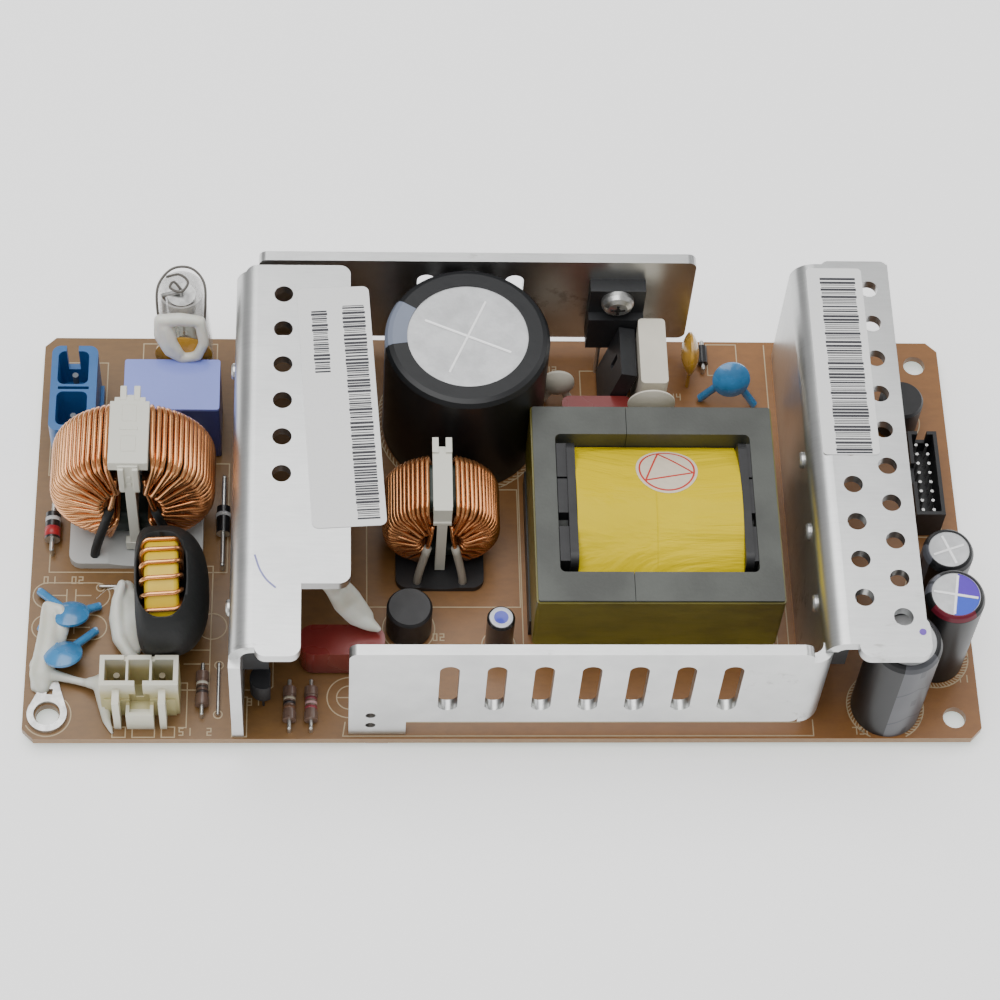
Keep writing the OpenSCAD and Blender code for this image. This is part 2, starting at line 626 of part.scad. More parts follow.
module transformer_winding() {
    color("gold") at_core() translate([winding_x[0], 0, core_h / 2]) rotate([90, 0, 90]) difference() {
        linear_extrude(winding_x[1] - winding_x[0]) winding_section(0);
        translate([0, 0, -1]) cylinder(h = winding_x[1] - winding_x[0] + 2, r = leg_r + 1.45);
    }
}

module transformer_bobbin() {
    outer_x = core_w / 2 - yoke_w - 0.1;
    rail_y = core_d / 2 - beam_w - 1.5;
    color("#1d1d1f") at_core() difference() {
        union() {
            translate([winding_x[0] - 1.5, 0, core_h / 2]) rotate([0, 90, 0])
                cylinder(h = winding_x[1] - winding_x[0] + 3, r = leg_r + 1.4);
            for (x = [winding_x[0] - 1.5, winding_x[1]]) translate([x, -rail_y, 0.2])
                rotate([90, 0, 90]) linear_extrude(1.5) rounded(2 * rail_y, core_h + 0.6, 2);
            for (s = [-1, 1]) {
                x0 = s < 0 ? -outer_x : winding_x[1] + 1.5;
                w = s < 0 ? outer_x + winding_x[0] - 1.5 : outer_x - winding_x[1] - 1.5;
                for (y = [-rail_y + 0.6, -rail_y + 10.4, rail_y - 7.6])
                    translate([x0, y, 1.4]) cube([w, 7, core_h - 1.2]);
                translate([x0, -rail_y, -core_lift]) cube([w, 2 * rail_y, core_lift + 3]);
                // pin rail under the yoke
                translate([s < 0 ? -core_w / 2 - 0.6 : outer_x - 1, -rail_y - 3, -core_lift])
                    cube([yoke_w + 1.7, 2 * rail_y + 6, core_lift]);
            }
        }
        translate([-outer_x - 1, 0, core_h / 2]) rotate([0, 90, 0]) cylinder(h = core_w, r = leg_r + 0.1);
        for (s = [-1, 1]) for (y = pin_y) translate([s * pin_x, y, -core_lift - 1])
            cylinder(h = 4, d = 0.9, $fn = 24);
    }
}

module transformer_pins() { color("silver") leads(pin_leads, z_top + 3); }

module transformer_tape() {
    wall = 0.3;
    wx = core_w / 2;
    wy = core_d / 2;
    color("#8a7d2e") at_core() linear_extrude(core_h - 0.5) difference() {
        translate([-wx - wall, -wy - wall]) rounded(core_w + 2 * wall, core_d + 2 * wall, 0.7);
        translate([-wx, -wy]) rounded(core_w, core_d, 0.4);
    }
}

// ---------- boxes, discs and connectors ----------
module x_capacitor() {
    w = 17.3;
    d = 10.8;
    h = 16.4;
    color("#8298da") {
        translate([x_at.x - w / 2, x_at.y - d / 2, z_top + 0.4]) linear_extrude(h - 0.4) rounded(w, d, 0.5);
        for (x = [-7.2, 5.2]) translate([x_at.x + x, x_at.y - d / 2 + 0.5, z_top]) cube([2, d - 1, 1]);
        leads(x_leads, z_top + 1);
    }
}

blue_h = 12;
module blue_connector() {
    w = 8.4;
    d = 18.4;
    cell_w = 5.6;
    color("#3c82be") translate([blue_at.x - w / 2, blue_at.y - d / 2, z_top]) difference() {
        union() {
            linear_extrude(blue_h) rounded(w, d, 1.6);
            translate([w - 1, 2.5, 0]) cube([1.6, d - 5, 2.4]);
        }
        for (y = [1.2, d / 2 + 0.8]) translate([1.2, y, 1.6]) linear_extrude(blue_h)
            rounded(cell_w, d / 2 - 2, 1.2);
        translate([1.4, d / 2 - 0.3, blue_h - 4]) cube([w - 2.8, 0.6, 5]);
        translate([w / 2 - 1.6, d - 1.6, blue_h - 6]) cube([2.2, 3, 8]);
        for (p = [-4.4, 4.4]) translate([w / 2, d / 2 + p, -1]) cylinder(h = 4, d = 1.1, $fn = 24);
    }
}
module blue_connector_pins() { color("silver") leads(blue_leads, z_top + 9.5); }

inlet_h = 11;
module inlet_wafer() {
    w = 13.6;
    d = 5.9;
    step = 3;
    color("ivory") translate([inlet_at.x - w / 2, inlet_at.y - d / 2, z_top]) difference() {
        union() {
            cube([w, d, inlet_h]);
            translate([0.6, -0.3, 0]) cube([w - 1.2, 1, inlet_h - 5]);
            for (x = [2.2, w - 3.4]) translate([x, -step, 0]) cube([1.2, step + 0.5, inlet_h - 1.5]);
            translate([4.4, -step, 0]) cube([4.8, step + 0.5, 5.2]);
        }
        for (k = [0:2]) translate([0.85 + k * 4.1, 0.9, 1.6]) cube([3.7, d - 1.8, inlet_h]);
        translate([w / 2 - 0.7, -0.6, 5.2]) cube([1.4, 1.8, inlet_h]);
        translate([w / 2 - 1.8, -step + 0.7, 3.6]) cube([3.6, step, 4]);
        for (k = [0:1]) translate([4.2 + k * 4.7, d - 0.9, inlet_h - 0.6]) cube([0.6, 1, 1]);
        for (x = [-3.96, 3.96]) translate([w / 2 + x, d / 2, -1]) cylinder(h = 4, d = 1.1, $fn = 24);
    }
}
module inlet_pins() { color("silver") leads(inlet_leads, z_top + 9); }

header_h = 7.6;
module output_header() {
    w = 5.4;
    d = 18;
    color("#1d1d1f") translate([header_at.x - w / 2, header_at.y - d / 2, z_top]) difference() {
        cube([w, d, header_h]);
        translate([0.7, 0.7, 1.8]) cube([w - 1.4, d - 1.4, header_h]);
        translate([w / 2 - 0.9, d - 1, header_h - 3]) cube([1.8, 2, 4]);
        translate([-1, d / 2 - 2, header_h - 1.6]) cube([2, 4, 2]);
        for (p = header_leads) translate([p.x - header_at.x + w / 2, p.y - header_at.y + d / 2, -1])
            cylinder(h = 4, d = p[2], $fn = 24);
    }
}
module output_header_pins() { color("silver") leads(header_leads, z_top + 6); }

module ground_lug() {
    t = 0.8;
    neck = 6.8;
    turned = -4;
    color("silver") translate([lug_at.x, lug_at.y, z_top]) difference() {
        union() {
            cylinder(h = t, d = 7);
            rotate([0, 0, turned]) linear_extrude(t)
                polygon([[-3.3, 1.1], [3.3, 1.1], [1.1, neck], [-1.1, neck]]);
        }
        translate([0, 0, -1]) cylinder(h = t + 2, d = 4.7);
        rotate([0, 0, turned]) translate([-0.55, 3.7, -1]) cube([1.1, 1.1, 3]);
    }
}

// Disc with rounded edge whose axis lies along Y
module disc(d, t) {
    k = (d * d / 4 + t * t / 4) / t;
    rotate([90, 0, 0]) rotate_extrude($fn = 64) intersection() {
        translate([0, t / 2 - k]) circle(k, $fn = 96);
        translate([0, k - t / 2]) circle(k, $fn = 96);
        translate([0, -t]) square([d / 2 - 0.25, 2 * t]);
    }
}

// Disc capacitor: a coated disc on two coated legs that spread to the lead holes
module disc_capacitor(at, z, d, t, turn, tilt, legs, more = 0) {
    translate([at.x, at.y, z]) rotate([tilt, 0, turn]) disc(d + more, t + more);
    for (p = legs) {
        translate([p.x, p.y, lead_tip]) cylinder(h = z_top + 1.8 - lead_tip, d = p[2] + more, $fn = 24);
        rod([p.x, p.y, z_top + 1], [0.75 * at.x + 0.25 * p.x, 0.75 * at.y + 0.25 * p.y, z - d * 0.08],
            1.5 + more);
    }
}
module y_capacitor_middle(more = 0) {
    color("#50a0d8")
        disc_capacitor([left + 7.8, front + 22.9], z_top + 3.7, 7.2, 3, 4, 68, y_middle_leads, more);
}
module y_capacitor_front(more = 0) {
    color("#50a0d8")
        disc_capacitor([left + 6.9, front + 14.8], z_top + 3.7, 7.4, 3, 14, 66, y_front_leads, more);
}
module y_capacitor_rear() {
    color("#50a0d8") disc_capacitor([43.7, 28.7], z_top + 7.6, 7.6, 3, 3, -30, y_rear_leads);
}
module cream_capacitors() {
    color("#dcd7c3") {
        disc_capacitor(cream_at[0], z_top + 6.5, 6.8, 3, 0, -8, [cream_leads[0], cream_leads[1]]);
        disc_capacitor(cream_at[1], z_top + 15.4, 9.2, 2.6, 0, 0, [cream_leads[2], cream_leads[3]]);
    }
}
module varistors() {
    disc_z = [z_top + 7.4, z_top + 15.4];
    color("#c89628") {
        translate([varistor_at[0].x, varistor_at[0].y, disc_z[0]]) rotate([0, 0, 90]) disc(8.8, 3.4);
        translate([varistor_at[1].x, varistor_at[1].y, disc_z[1]]) disc(10.9, 3.2);
        for (k = [0:3]) let (p = varistor_leads[k])
            wire([[p.x, p.y, lead_tip], [p.x, p.y, disc_z[floor(k / 2)] - 1.9]], p[2]);
    }
}

module film_body(at, w, d, h, z) {
    translate([at.x - w / 2, at.y - d / 2, z]) linear_extrude(h) rounded(w, d, d / 2 - 0.3);
}
module film_capacitor_front() {
    at = [film_front_leads[0].x + 5, film_front_leads[0].y];
    color("#6e2d2d") {
        film_body(at, 15.2, 6, 7, z_top + 0.5);
        leads(film_front_leads, z_top + 1);
    }
}
module film_capacitor_rear() {
    at = [film_rear_leads[0].x + 5, film_rear_leads[0].y];
    color("#6e2d2d") {
        film_body(at, 13, 3.6, 8.8, z_top + 0.4);
        leads(film_rear_leads, z_top + 1);
    }
}

module round_fuse(at, list) {
    color("#1d1d1f") {
        translate([at.x, at.y, z_top + 0.3]) rotate_extrude()
            polygon([[0, 0], [4, 0], [4.1, 0.4], [4.1, 7.4], [3.7, 8], [0, 8]]);
        leads(list, z_top + 1);
    }
}
module round_fuse_front() { round_fuse(round_front_at, [round_leads[0], round_leads[1]]); }
module round_fuse_rear() { round_fuse(round_rear_at, [round_leads[2], round_leads[3]]); }

module rear_rectifier() {
    w = 3;
    d = 10.4;
    h = 14.9;
    color("#2a2c2e") {
        translate([rectifier_at.x, rectifier_at.y, z_top + 1.4]) rotate([0, 12.5, 0])
            translate([-w / 2, -d / 2, 0]) difference() {
                cube([w, d, h]);
                translate([-1, d / 2 - 0.6, 9]) cube([1.8, 1.2, 4]);
                translate([0, -1, h]) rotate([0, 35, 0]) translate([-3, 0, -1]) cube([3, d + 2, 2]);
            }
        leads(rectifier_leads, z_top + 2);
    }
}

module cement_resistor() {
    w = 5;
    d = 14.2;
    h = 18.7;
    color("#ddd9cc") {
        translate([cement_at.x - w / 2, cement_at.y - d / 2, z_top + 0.3])
            linear_extrude(h) rounded(w, d, 0.8);
        leads(cement_leads, z_top + 1);
    }
}

// ---------- standing fuse ----------
fuse_glass_h = 20;
fuse_z = z_top + 4;
module standing_fuse_glass() {
    color("#e0e8e8") translate([fuse_at.x, fuse_at.y, fuse_z + 4]) difference() {
        cylinder(h = fuse_glass_h - 8, d = 5);
        translate([0, 0, -1]) cylinder(h = fuse_glass_h, d = 3.8);
    }
}
module standing_fuse_caps() {
    top_z = fuse_z + fuse_glass_h;
    color("silver") {
        for (z = [fuse_z, top_z - 4]) translate([fuse_at.x, fuse_at.y, z]) cylinder(h = 4, d = 5.2);
        translate([fuse_at.x, fuse_at.y, lead_tip]) cylinder(h = fuse_z - lead_tip + 0.5, d = 0.8, $fn = 24);
        wire([[fuse_at.x, fuse_at.y, top_z - 0.5], [fuse_at.x, fuse_at.y, top_z + 0.9],
            [fuse_at.x - 3.3, fuse_at.y, top_z - 0.4], [fuse_at.x - 3.3, fuse_at.y, lead_tip]], 0.8);
        translate([fuse_at.x, fuse_at.y, fuse_z + 3.9]) cylinder(h = fuse_glass_h - 7.8, d = 0.3, $fn = 24);
    }
}
module standing_fuse_cavity() {
    translate([fuse_at.x, fuse_at.y, z_top]) rotate_extrude()
        polygon([[0, 0], [5.3, 0], [5.3, 9], [4.25, 25.4], [0, 25.4]]);
}
module standing_fuse_sleeve() {
    wall = 0.35;
    top = 25.4;
    color("#d8dcd8") translate([fuse_at.x, fuse_at.y, z_top]) rotate_extrude()
        polygon([[5.2, 0], [5.2, 9], [4.15, top], [4.15 - wall, top], [5.2 - wall, 9], [5.2 - wall, 0]]);
}

// ---------- power devices ----------
dev_w = 10.2;
dev_h = 15.8;
tab_t = 2.7;
body_t = 4.5;
screw_drop = 2.9;
// Device standing with its back on the plane y = 0, screw hole at the origin, legs towards -Z
module device(leg_z) {
    difference() {
        union() {
            translate([-dev_w / 2, -tab_t, screw_drop - dev_h]) cube([dev_w, tab_t, dev_h]);
            translate([-dev_w / 2, -body_t, screw_drop - dev_h]) cube([dev_w, body_t, 9.1]);
            for (k = [-1:1]) translate([k * device_pitch, -4, leg_z])
                cylinder(h = screw_drop - dev_h - leg_z + 0.5, d = 0.8, $fn = 24);
        }
        translate([0, 1, 0]) rotate([90, 0, 0]) cylinder(h = body_t + 2, d = 3);
    }
}
module rear_transistor() {
    color("#2a2a2c") translate([rear_device_x, back_plate_y - sheet_t, rear_screw_z])
        device(lead_tip - rear_screw_z);
}
module wall_transistors() {
    drop = lead_tip - device_screw_z;
    color("#2a2a2c") {
        for (y = left_device_y) translate([lwx + sheet_t, y, device_screw_z])
            rotate([0, 0, 90]) wall_device(drop);
        for (y = right_device_y) translate([rwx + sheet_t, y, device_screw_z])
            rotate([0, 0, 90]) wall_device(drop);
    }
}
// The legs of a wall device stand in the row of holes 2.2 mm in front of its wall
module wall_device(drop) {
    difference() {
        union() {
            translate([-dev_w / 2, -tab_t, screw_drop - dev_h]) cube([dev_w, tab_t, dev_h]);
            translate([-dev_w / 2, -body_t, screw_drop - dev_h]) cube([dev_w, body_t, 9.1]);
            for (k = [-1:1]) translate([k * device_pitch, -2.2, drop])
                cylinder(h = screw_drop - dev_h - drop + 0.5, d = 0.8, $fn = 24);
        }
        translate([0, 1, 0]) rotate([90, 0, 0]) cylinder(h = body_t + 2, d = 3);
    }
}
module screw() {
    grip = tab_t + sheet_t;
    rotate([90, 0, 0]) rotate_extrude($fn = 40)
        polygon([[0, -grip - 0.7], [1.2, -grip - 0.7], [1.5, -grip - 0.4],
        [1.5, 0], [3, 0], [3, 0.9], [2.6, 1.6], [1.8, 2.1], [0.6, 2.3], [0.6, 1.2], [0, 1.2]]);
}
module device_screws() {
    color("silver") {
        translate([rear_device_x, back_plate_y - sheet_t - tab_t, rear_screw_z]) screw();
        for (y = left_device_y) translate([lwx + sheet_t + tab_t, y, device_screw_z])
            rotate([0, 0, 90]) screw();
        for (y = right_device_y) translate([rwx + sheet_t + tab_t, y, device_screw_z])
            rotate([0, 0, 90]) screw();
    }
}
module small_transistor() {
    color("#2a2a2c") {
        translate([tr_leads[1].x, tr_leads[1].y, z_top + 3]) rotate([0, 0, 90])
            linear_extrude(4.6) difference() {
            circle(2.3);
            translate([-3, -3.9]) square([6, 2.6]);
        }
        leads(tr_leads, z_top + 3.3);
    }
}

// ---------- axial parts ----------
module axial_part(ends, body_d, body_l, lead_d) {
    a = ends[0];
    b = ends[1];
    z = z_top + body_d / 2 + 0.4;
    m = (a + b) / 2;
    u = (b - a) / norm(b - a);
    wire([[a.x, a.y, lead_tip], [a.x, a.y, z], [b.x, b.y, z], [b.x, b.y, lead_tip]], lead_d);
    p = m - u * body_l / 2;
    q = m + u * body_l / 2;
    rod([p.x, p.y, z], [q.x, q.y, z], body_d);
}
module axial_resistors() {
    z = z_top + 1.45;
    color("#8a7460") for (e = resistor_ends) {
        axial_part(e, 2.1, 6, 0.7);
        u = (e[1] - e[0]) / norm(e[1] - e[0]);
        m = (e[0] + e[1]) / 2;
        for (k = [-3.2, 1.6]) {
            p = m + k * u;
            q = m + (k + 1.6) * u;
            rod([p.x, p.y, z], [q.x, q.y, z], 2.4);
        }
    }
}
module axial_diodes() {
    color("#2a2a2c") {
        axial_part(diode_ends[0], 2.8, 5.4, 0.8);
        axial_part(diode_ends[1], 2.5, 5.5, 0.8);
        axial_part(diode_ends[2], 1.9, 3.8, 0.8);
    }
}
module jumper_wires() {
    z = z_top + 0.5;
    color("silver") for (e = jumper_ends)
        wire([[e[0].x, e[0].y, lead_tip], [e[0].x, e[0].y, z], [e[1].x, e[1].y, z],
            [e[1].x, e[1].y, lead_tip]], 0.6);
}

// ---------- glue and labels ----------
module blob(points, radii) {
    hull() for (i = [0:len(points) - 1]) translate(points[i]) sphere(r = radii[i], $fn = 14);
}
module silicone_glue() {
    color("#e6e6da") {
        // over the disc capacitors, down to the neck of the lug
        difference() {
            blob([[left + 4, front + 23, z_top + 3], [left + 3.4, front + 16, z_top + 1.6],
                [left + 3.2, front + 11.6, z_top + 0.9]], [1.9, 2.2, 1.6]);
            translate([left - 5, front, z_top - 5]) cube([30, 40, 5]);
            y_capacitor_middle(0.1);
            y_capacitor_front(0.1);
            ground_lug();
        }
        // on the front of the standing fuse
        difference() {
            blob([[fuse_at.x - 3.4, fuse_at.y - 3.6, z_top + 22],
                [fuse_at.x + 1.6, fuse_at.y - 4.2, z_top + 22],
                [fuse_at.x + 1, fuse_at.y - 5.4, z_top + 15]], [1.2, 1.2, 1.1]);
            standing_fuse_cavity();
            varistors();
        }
    }
}

module paper_labels() {
    t = 0.12;
    color("white") {
        translate([lwx + 10.9, back - 9.3, z_sheet]) rotate([0, 0, 3.55 - 90])
            linear_extrude(t) rounded(50, 12.9, 1.2);
        translate([rwx + 2.4, back - 3.8, z_sheet]) rotate([0, 0, -90])
            linear_extrude(t) rounded(40, 10.1, 0.8);
        translate([core_at.x + 2.6, core_at.y + 7, core_z + core_h + 1.35]) cylinder(h = t, d = 5.6);
    }
}

circuit_board();
solder_joints();
left_heatsink();
right_heatsink();
bulk_capacitor_can();
bulk_capacitor_sleeve();
line_choke_core();
line_choke_windings();
line_choke_separator();
line_choke_base();
second_choke_core();
second_choke_windings();
second_choke_separator();
second_choke_base();
filter_choke_core();
filter_choke_winding();
filter_choke_sleeve();
transformer_core();
transformer_bobbin();
transformer_winding();
transformer_tape();
transformer_pins();
x_capacitor();
blue_connector();
blue_connector_pins();
standing_fuse_caps();
standing_fuse_glass();
standing_fuse_sleeve();
y_capacitor_middle();
y_capacitor_front();
y_capacitor_rear();
ground_lug();
inlet_wafer();
inlet_pins();
film_capacitor_front();
film_capacitor_rear();
round_fuse_front();
round_fuse_rear();
small_capacitor();
output_capacitor_small_can();
output_capacitor_small_sleeve();
output_capacitor_middle_can();
output_capacitor_middle_sleeve();
output_capacitor_large_can();
output_capacitor_large_sleeve();
rear_rectifier();
cement_resistor();
varistors();
cream_capacitors();
rear_transistor();
wall_transistors();
device_screws();
small_transistor();
axial_resistors();
axial_diodes();
jumper_wires();
output_header();
output_header_pins();
silicone_glue();
paper_labels();
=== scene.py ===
"""Looks of the open frame power supply: materials, wound copper, glue, leads and labels.

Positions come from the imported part. Lengths are in metres, or in millimetres where a comment or
docstring says so or the name ends in _mm.
"""
import json
import math
import random

import bmesh
import bpy
from mathutils import Matrix, Vector


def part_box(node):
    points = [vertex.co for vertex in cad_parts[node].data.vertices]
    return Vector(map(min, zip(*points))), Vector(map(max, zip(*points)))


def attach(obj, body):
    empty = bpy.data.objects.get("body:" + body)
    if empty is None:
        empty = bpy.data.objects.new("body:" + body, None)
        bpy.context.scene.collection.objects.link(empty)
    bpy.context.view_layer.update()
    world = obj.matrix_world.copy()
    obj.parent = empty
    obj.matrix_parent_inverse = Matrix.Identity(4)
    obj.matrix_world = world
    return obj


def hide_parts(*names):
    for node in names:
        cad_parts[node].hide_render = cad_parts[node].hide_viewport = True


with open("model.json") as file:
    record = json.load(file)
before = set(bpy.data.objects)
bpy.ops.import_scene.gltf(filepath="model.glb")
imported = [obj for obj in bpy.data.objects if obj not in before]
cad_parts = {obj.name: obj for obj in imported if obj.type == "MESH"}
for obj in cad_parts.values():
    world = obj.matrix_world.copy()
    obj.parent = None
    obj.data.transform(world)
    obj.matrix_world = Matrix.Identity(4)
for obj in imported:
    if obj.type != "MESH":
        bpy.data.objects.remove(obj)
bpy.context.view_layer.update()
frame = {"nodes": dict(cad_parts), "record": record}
MM = 0.001
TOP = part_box("circuit_board")[1][2]
# Just above the board's underside and just inside its edges, to tell its faces apart
UNDERSIDE, SIDE_EDGE, LONG_EDGE = 0.00205, 0.08497, 0.04222
# Where the cans, the lying parts and the folded walls stand, in millimetres
CANS = {"bulk_capacitor": (-6.6, 23.9), "output_capacitor_small": (79.3, -12.2),
        "output_capacitor_middle": (77.7, -25.85), "output_capacitor_large": (68.0, -35.75)}
TINY_CAN = (-0.9, -23.55)
RESISTORS = ((-53.6, -33.1), (-38.2, -36.15), (-34.4, -36.15))
DIODES = ((-81.4, -0.3), (-50.6, 1.2), (39.5, 38.2))
LEFT_WALL, RIGHT_WALL, BACK = -48.2, 53, 42.25
SHEET_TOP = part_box("left_heatsink")[1][2] / MM
# Where the yellow tape's last lap ends and where the wafer's pocket begins (its painted shade starts
# there), in metres
TAPE_LAP, POCKET_FRONT = 0.0265, -0.0382
# Heights, in millimetres, where the legs of the screwed-on devices leave their bodies
REAR_LEGS, WALL_LEGS, RECTIFIER_LEGS = 12.4, 13.6, 5


# ---------------- shader maths
class Value:
    """A socket in a material's node tree. Arithmetic on it adds maths nodes."""

    def __init__(self, tree, socket):
        self.tree = tree
        self.socket = socket

    def node(self, kind, settings=None, inputs=None, out=0):
        """Adds a node: its settings first, then values or links for its inputs."""
        made = self.tree.nodes.new(kind)
        for key, value in (settings or {}).items():
            setattr(made, key, value)
        for key, value in (inputs or {}).items():
            if isinstance(value, Value):
                self.tree.links.new(value.socket, made.inputs[key])
            else:
                made.inputs[key].default_value = value
        return Value(self.tree, made.outputs[out])

    def maths(self, operation, *values):
        inputs = {i: v for i, v in enumerate((self,) + values)}
        return self.node("ShaderNodeMath", {"operation": operation}, inputs)

    def __add__(self, other):
        return self.maths("ADD", other)

    __radd__ = __add__

    def __mul__(self, other):
        return self.maths("MULTIPLY", other)

    __rmul__ = __mul__

    def __sub__(self, other):
        return self.maths("SUBTRACT", other)

    def __rsub__(self, other):
        return self.maths("MULTIPLY", -1.0).maths("ADD", other)

    def __abs__(self):
        return self.maths("ABSOLUTE")

    def __lt__(self, other):
        return self.maths("LESS_THAN", other)

    def __gt__(self, other):
        return self.maths("GREATER_THAN", other)

    def least(self, other):
        return self.maths("MINIMUM", other)

    def most(self, other):
        return self.maths("MAXIMUM", other)

    def repeat(self, length):
        """Distance from the middle of the nearest repeat."""
        return abs(self.maths("PINGPONG", length / 2))

    def ramp(self, low, high):
        """0 below low, 1 above high, smooth between. low may be the larger of the two."""
        return self.node("ShaderNodeMapRange", {"interpolation_type": "SMOOTHSTEP"},
                         {"Value": self, "From Min": low, "From Max": high})

    def scaled(self, *factors):
        """This vector with each axis scaled."""
        return self.node("ShaderNodeVectorMath", {"operation": "MULTIPLY"},
                         {0: self, 1: factors})

    def axes(self):
        made = self.node("ShaderNodeSeparateXYZ", {}, {"Vector": self})
        return [Value(self.tree, made.socket.node.outputs[i]) for i in range(3)]

    def noise(self, scale, detail=2.0, rough=0.5, distortion=0.0):
        return self.node("ShaderNodeTexNoise", {},
                         {"Vector": self, "Scale": scale, "Detail": detail, "Roughness": rough,
                          "Distortion": distortion})

    def about(self, centre, turned=0.0):
        """Position across, position up and bearing in degrees, all about a vertical axis."""
        x, y, _ = self.axes()
        c, s = math.cos(math.radians(turned)), math.sin(math.radians(turned))
        dx, dy = x - centre[0] * MM, y - centre[1] * MM
        u, v = dx * c + dy * s, dy * c - dx * s
        return u, v, v.maths("ARCTAN2", u) * (180 / math.pi)

    def cells(self, scale):
        """Distance to the nearest edge of a patchwork."""
        return self.node("ShaderNodeTexVoronoi", {"feature": "DISTANCE_TO_EDGE"},
                         {"Vector": self, "Scale": scale})

    def mix(self, a, b):
        """Colour a where this is 0, colour b where it is 1."""
        pair = {6: a if isinstance(a, Value) else colour(a), 7: b if isinstance(b, Value) else colour(b)}
        return self.node("ShaderNodeMix", {"data_type": "RGBA"}, {0: self, **pair}, 2)

    def between(self, a, b):
        """Number a where this is 0, number b where it is 1."""
        return self * (b - a) + a


def colour(rgb):
    """Display values 0..255 as a linear colour."""
    def linear(c):
        c = c / 255
        return c / 12.92 if c <= 0.04045 else ((c + 0.055) / 1.055) ** 2.4
    return tuple(linear(c) for c in rgb) + (1.0,)


SHADER_SOCKETS = {"base": "Base Color", "rough": "Roughness", "metal": "Metallic",
                  "coat": "Coat Weight", "coat_rough": "Coat Roughness", "ior": "IOR",
                  "alpha": "Alpha", "glass": "Transmission Weight", "soft": "Subsurface Weight",
                  "specular": "Specular IOR Level"}


def material(name, recipe):
    """A new material; recipe(p) gets the point in object space and returns what to feed the shader."""
    mat = bpy.data.materials.new(name)
    mat.use_nodes = True
    tree = mat.node_tree
    shader = tree.nodes["Principled BSDF"]
    coordinates = tree.nodes.new("ShaderNodeTexCoord")
    parts = recipe(Value(tree, coordinates.outputs["Object"]))
    bump = parts.pop("bump", None)
    if bump:
        height, distance = bump
        normal = height.node("ShaderNodeBump", {},
                             {"Height": height, "Distance": distance, "Strength": 1.0})
        tree.links.new(normal.socket, shader.inputs["Normal"])
    for key, value in parts.items():
        socket = shader.inputs[SHADER_SOCKETS[key]]
        if isinstance(value, Value):
            tree.links.new(value.socket, socket)
        else:
            socket.default_value = colour(value) if key == "base" else value
    return mat


def plastic(name, rgb, rough=0.4, shade=0.12, grain=900, coat=0.0, bump=0.00002):
    """Moulded plastic: slight uneven colour and a fine skin."""
    dark = tuple(c * (1 - shade) for c in rgb)

    def recipe(p):
        cloud = p.noise(160, 3)
        return {"base": cloud.mix(dark, rgb), "rough": p.noise(420, 2).between(rough - 0.07, rough + 0.09),
                "coat": coat, "bump": (p.noise(grain, 2), bump)}
    return material(name, recipe)


# ---------------- materials
def aluminium_recipe(p):
    fine = p.scaled(1, 10, 1).noise(220, 3, 0.6)
    blotch = p.noise(34, 4, 0.6)
    scuffs = (p.scaled(1, 3, 1).noise(120, 5, 0.7) * p.noise(22, 2)).ramp(0.36, 0.44)
    base = (fine * 0.25 + blotch * 0.75).ramp(0.3, 0.7).mix((194, 195, 195), (216, 217, 216))
    return {"base": scuffs.mix(base, (180, 180, 178)), "metal": 1.0,
            "rough": blotch.between(0.3, 0.38) + scuffs * 0.08,
            "bump": (fine * 0.4 + p.noise(1900, 2) * 0.6, 0.000012)}


def board_recipe(p):
    x, y, z = p.axes()
    fibre = p.scaled(1, 2.2, 1).noise(420, 4, 0.6)
    cloud = p.noise(26, 3)
    # painted light: the face is painted darker towards the left and lighter towards the right
    painted_light_right = (x + cloud * 0.03).ramp(-0.06, 0.06)
    face = painted_light_right.mix((120, 86, 40), (140, 92, 42))
    face = fibre.ramp(0.25, 0.8).mix(face, painted_light_right.mix((110, 78, 36), (128, 84, 38)))
    # soldered side: green mask over wide copper lands with thin clearances, bare edges all round
    tracks = p.scaled(1, 0.6, 1).cells(80).ramp(0.035, 0.048)
    mask = tracks.mix((58, 88, 48), cloud.mix((76, 108, 54), (86, 118, 60)))
    under = z < UNDERSIDE
    edge = fibre.mix((120, 84, 44), (158, 120, 68))
    side = (abs(x) > SIDE_EDGE).most(abs(y) > LONG_EDGE)
    return {"base": side.mix(under.mix(face, mask), edge), "rough": cloud.between(0.4, 0.52),
            "coat": 0.3, "coat_rough": 0.28, "bump": (fibre * 0.6 + tracks * under, 0.000014)}


def copper_recipe(p):
    shade = p.noise(70, 2)
    return {"base": shade.ramp(0.3, 0.7).mix((206, 134, 80), (232, 168, 112)), "metal": 0.9,
            "rough": shade.between(0.2, 0.28), "coat": 0.4, "coat_rough": 0.12}


def tinned_recipe(p):
    shade = p.noise(700, 3)
    return {"base": shade.mix((182, 182, 180), (222, 222, 220)), "metal": 0.9,
            "rough": shade.between(0.2, 0.4)}


def solder_recipe(p):
    shade = p.noise(520, 3)
    return {"base": shade.mix((176, 178, 178), (214, 215, 215)), "metal": 0.95,
            "rough": shade.between(0.12, 0.34), "bump": (p.noise(900, 2), 0.00003)}


def lug_recipe(p):
    shade = p.noise(420, 4, 0.6)
    return {"base": shade.ramp(0.3, 0.7).mix((168, 168, 166), (222, 222, 220)), "metal": 0.9,
            "rough": shade.between(0.24, 0.46), "bump": (p.noise(700, 2), 0.00003)}


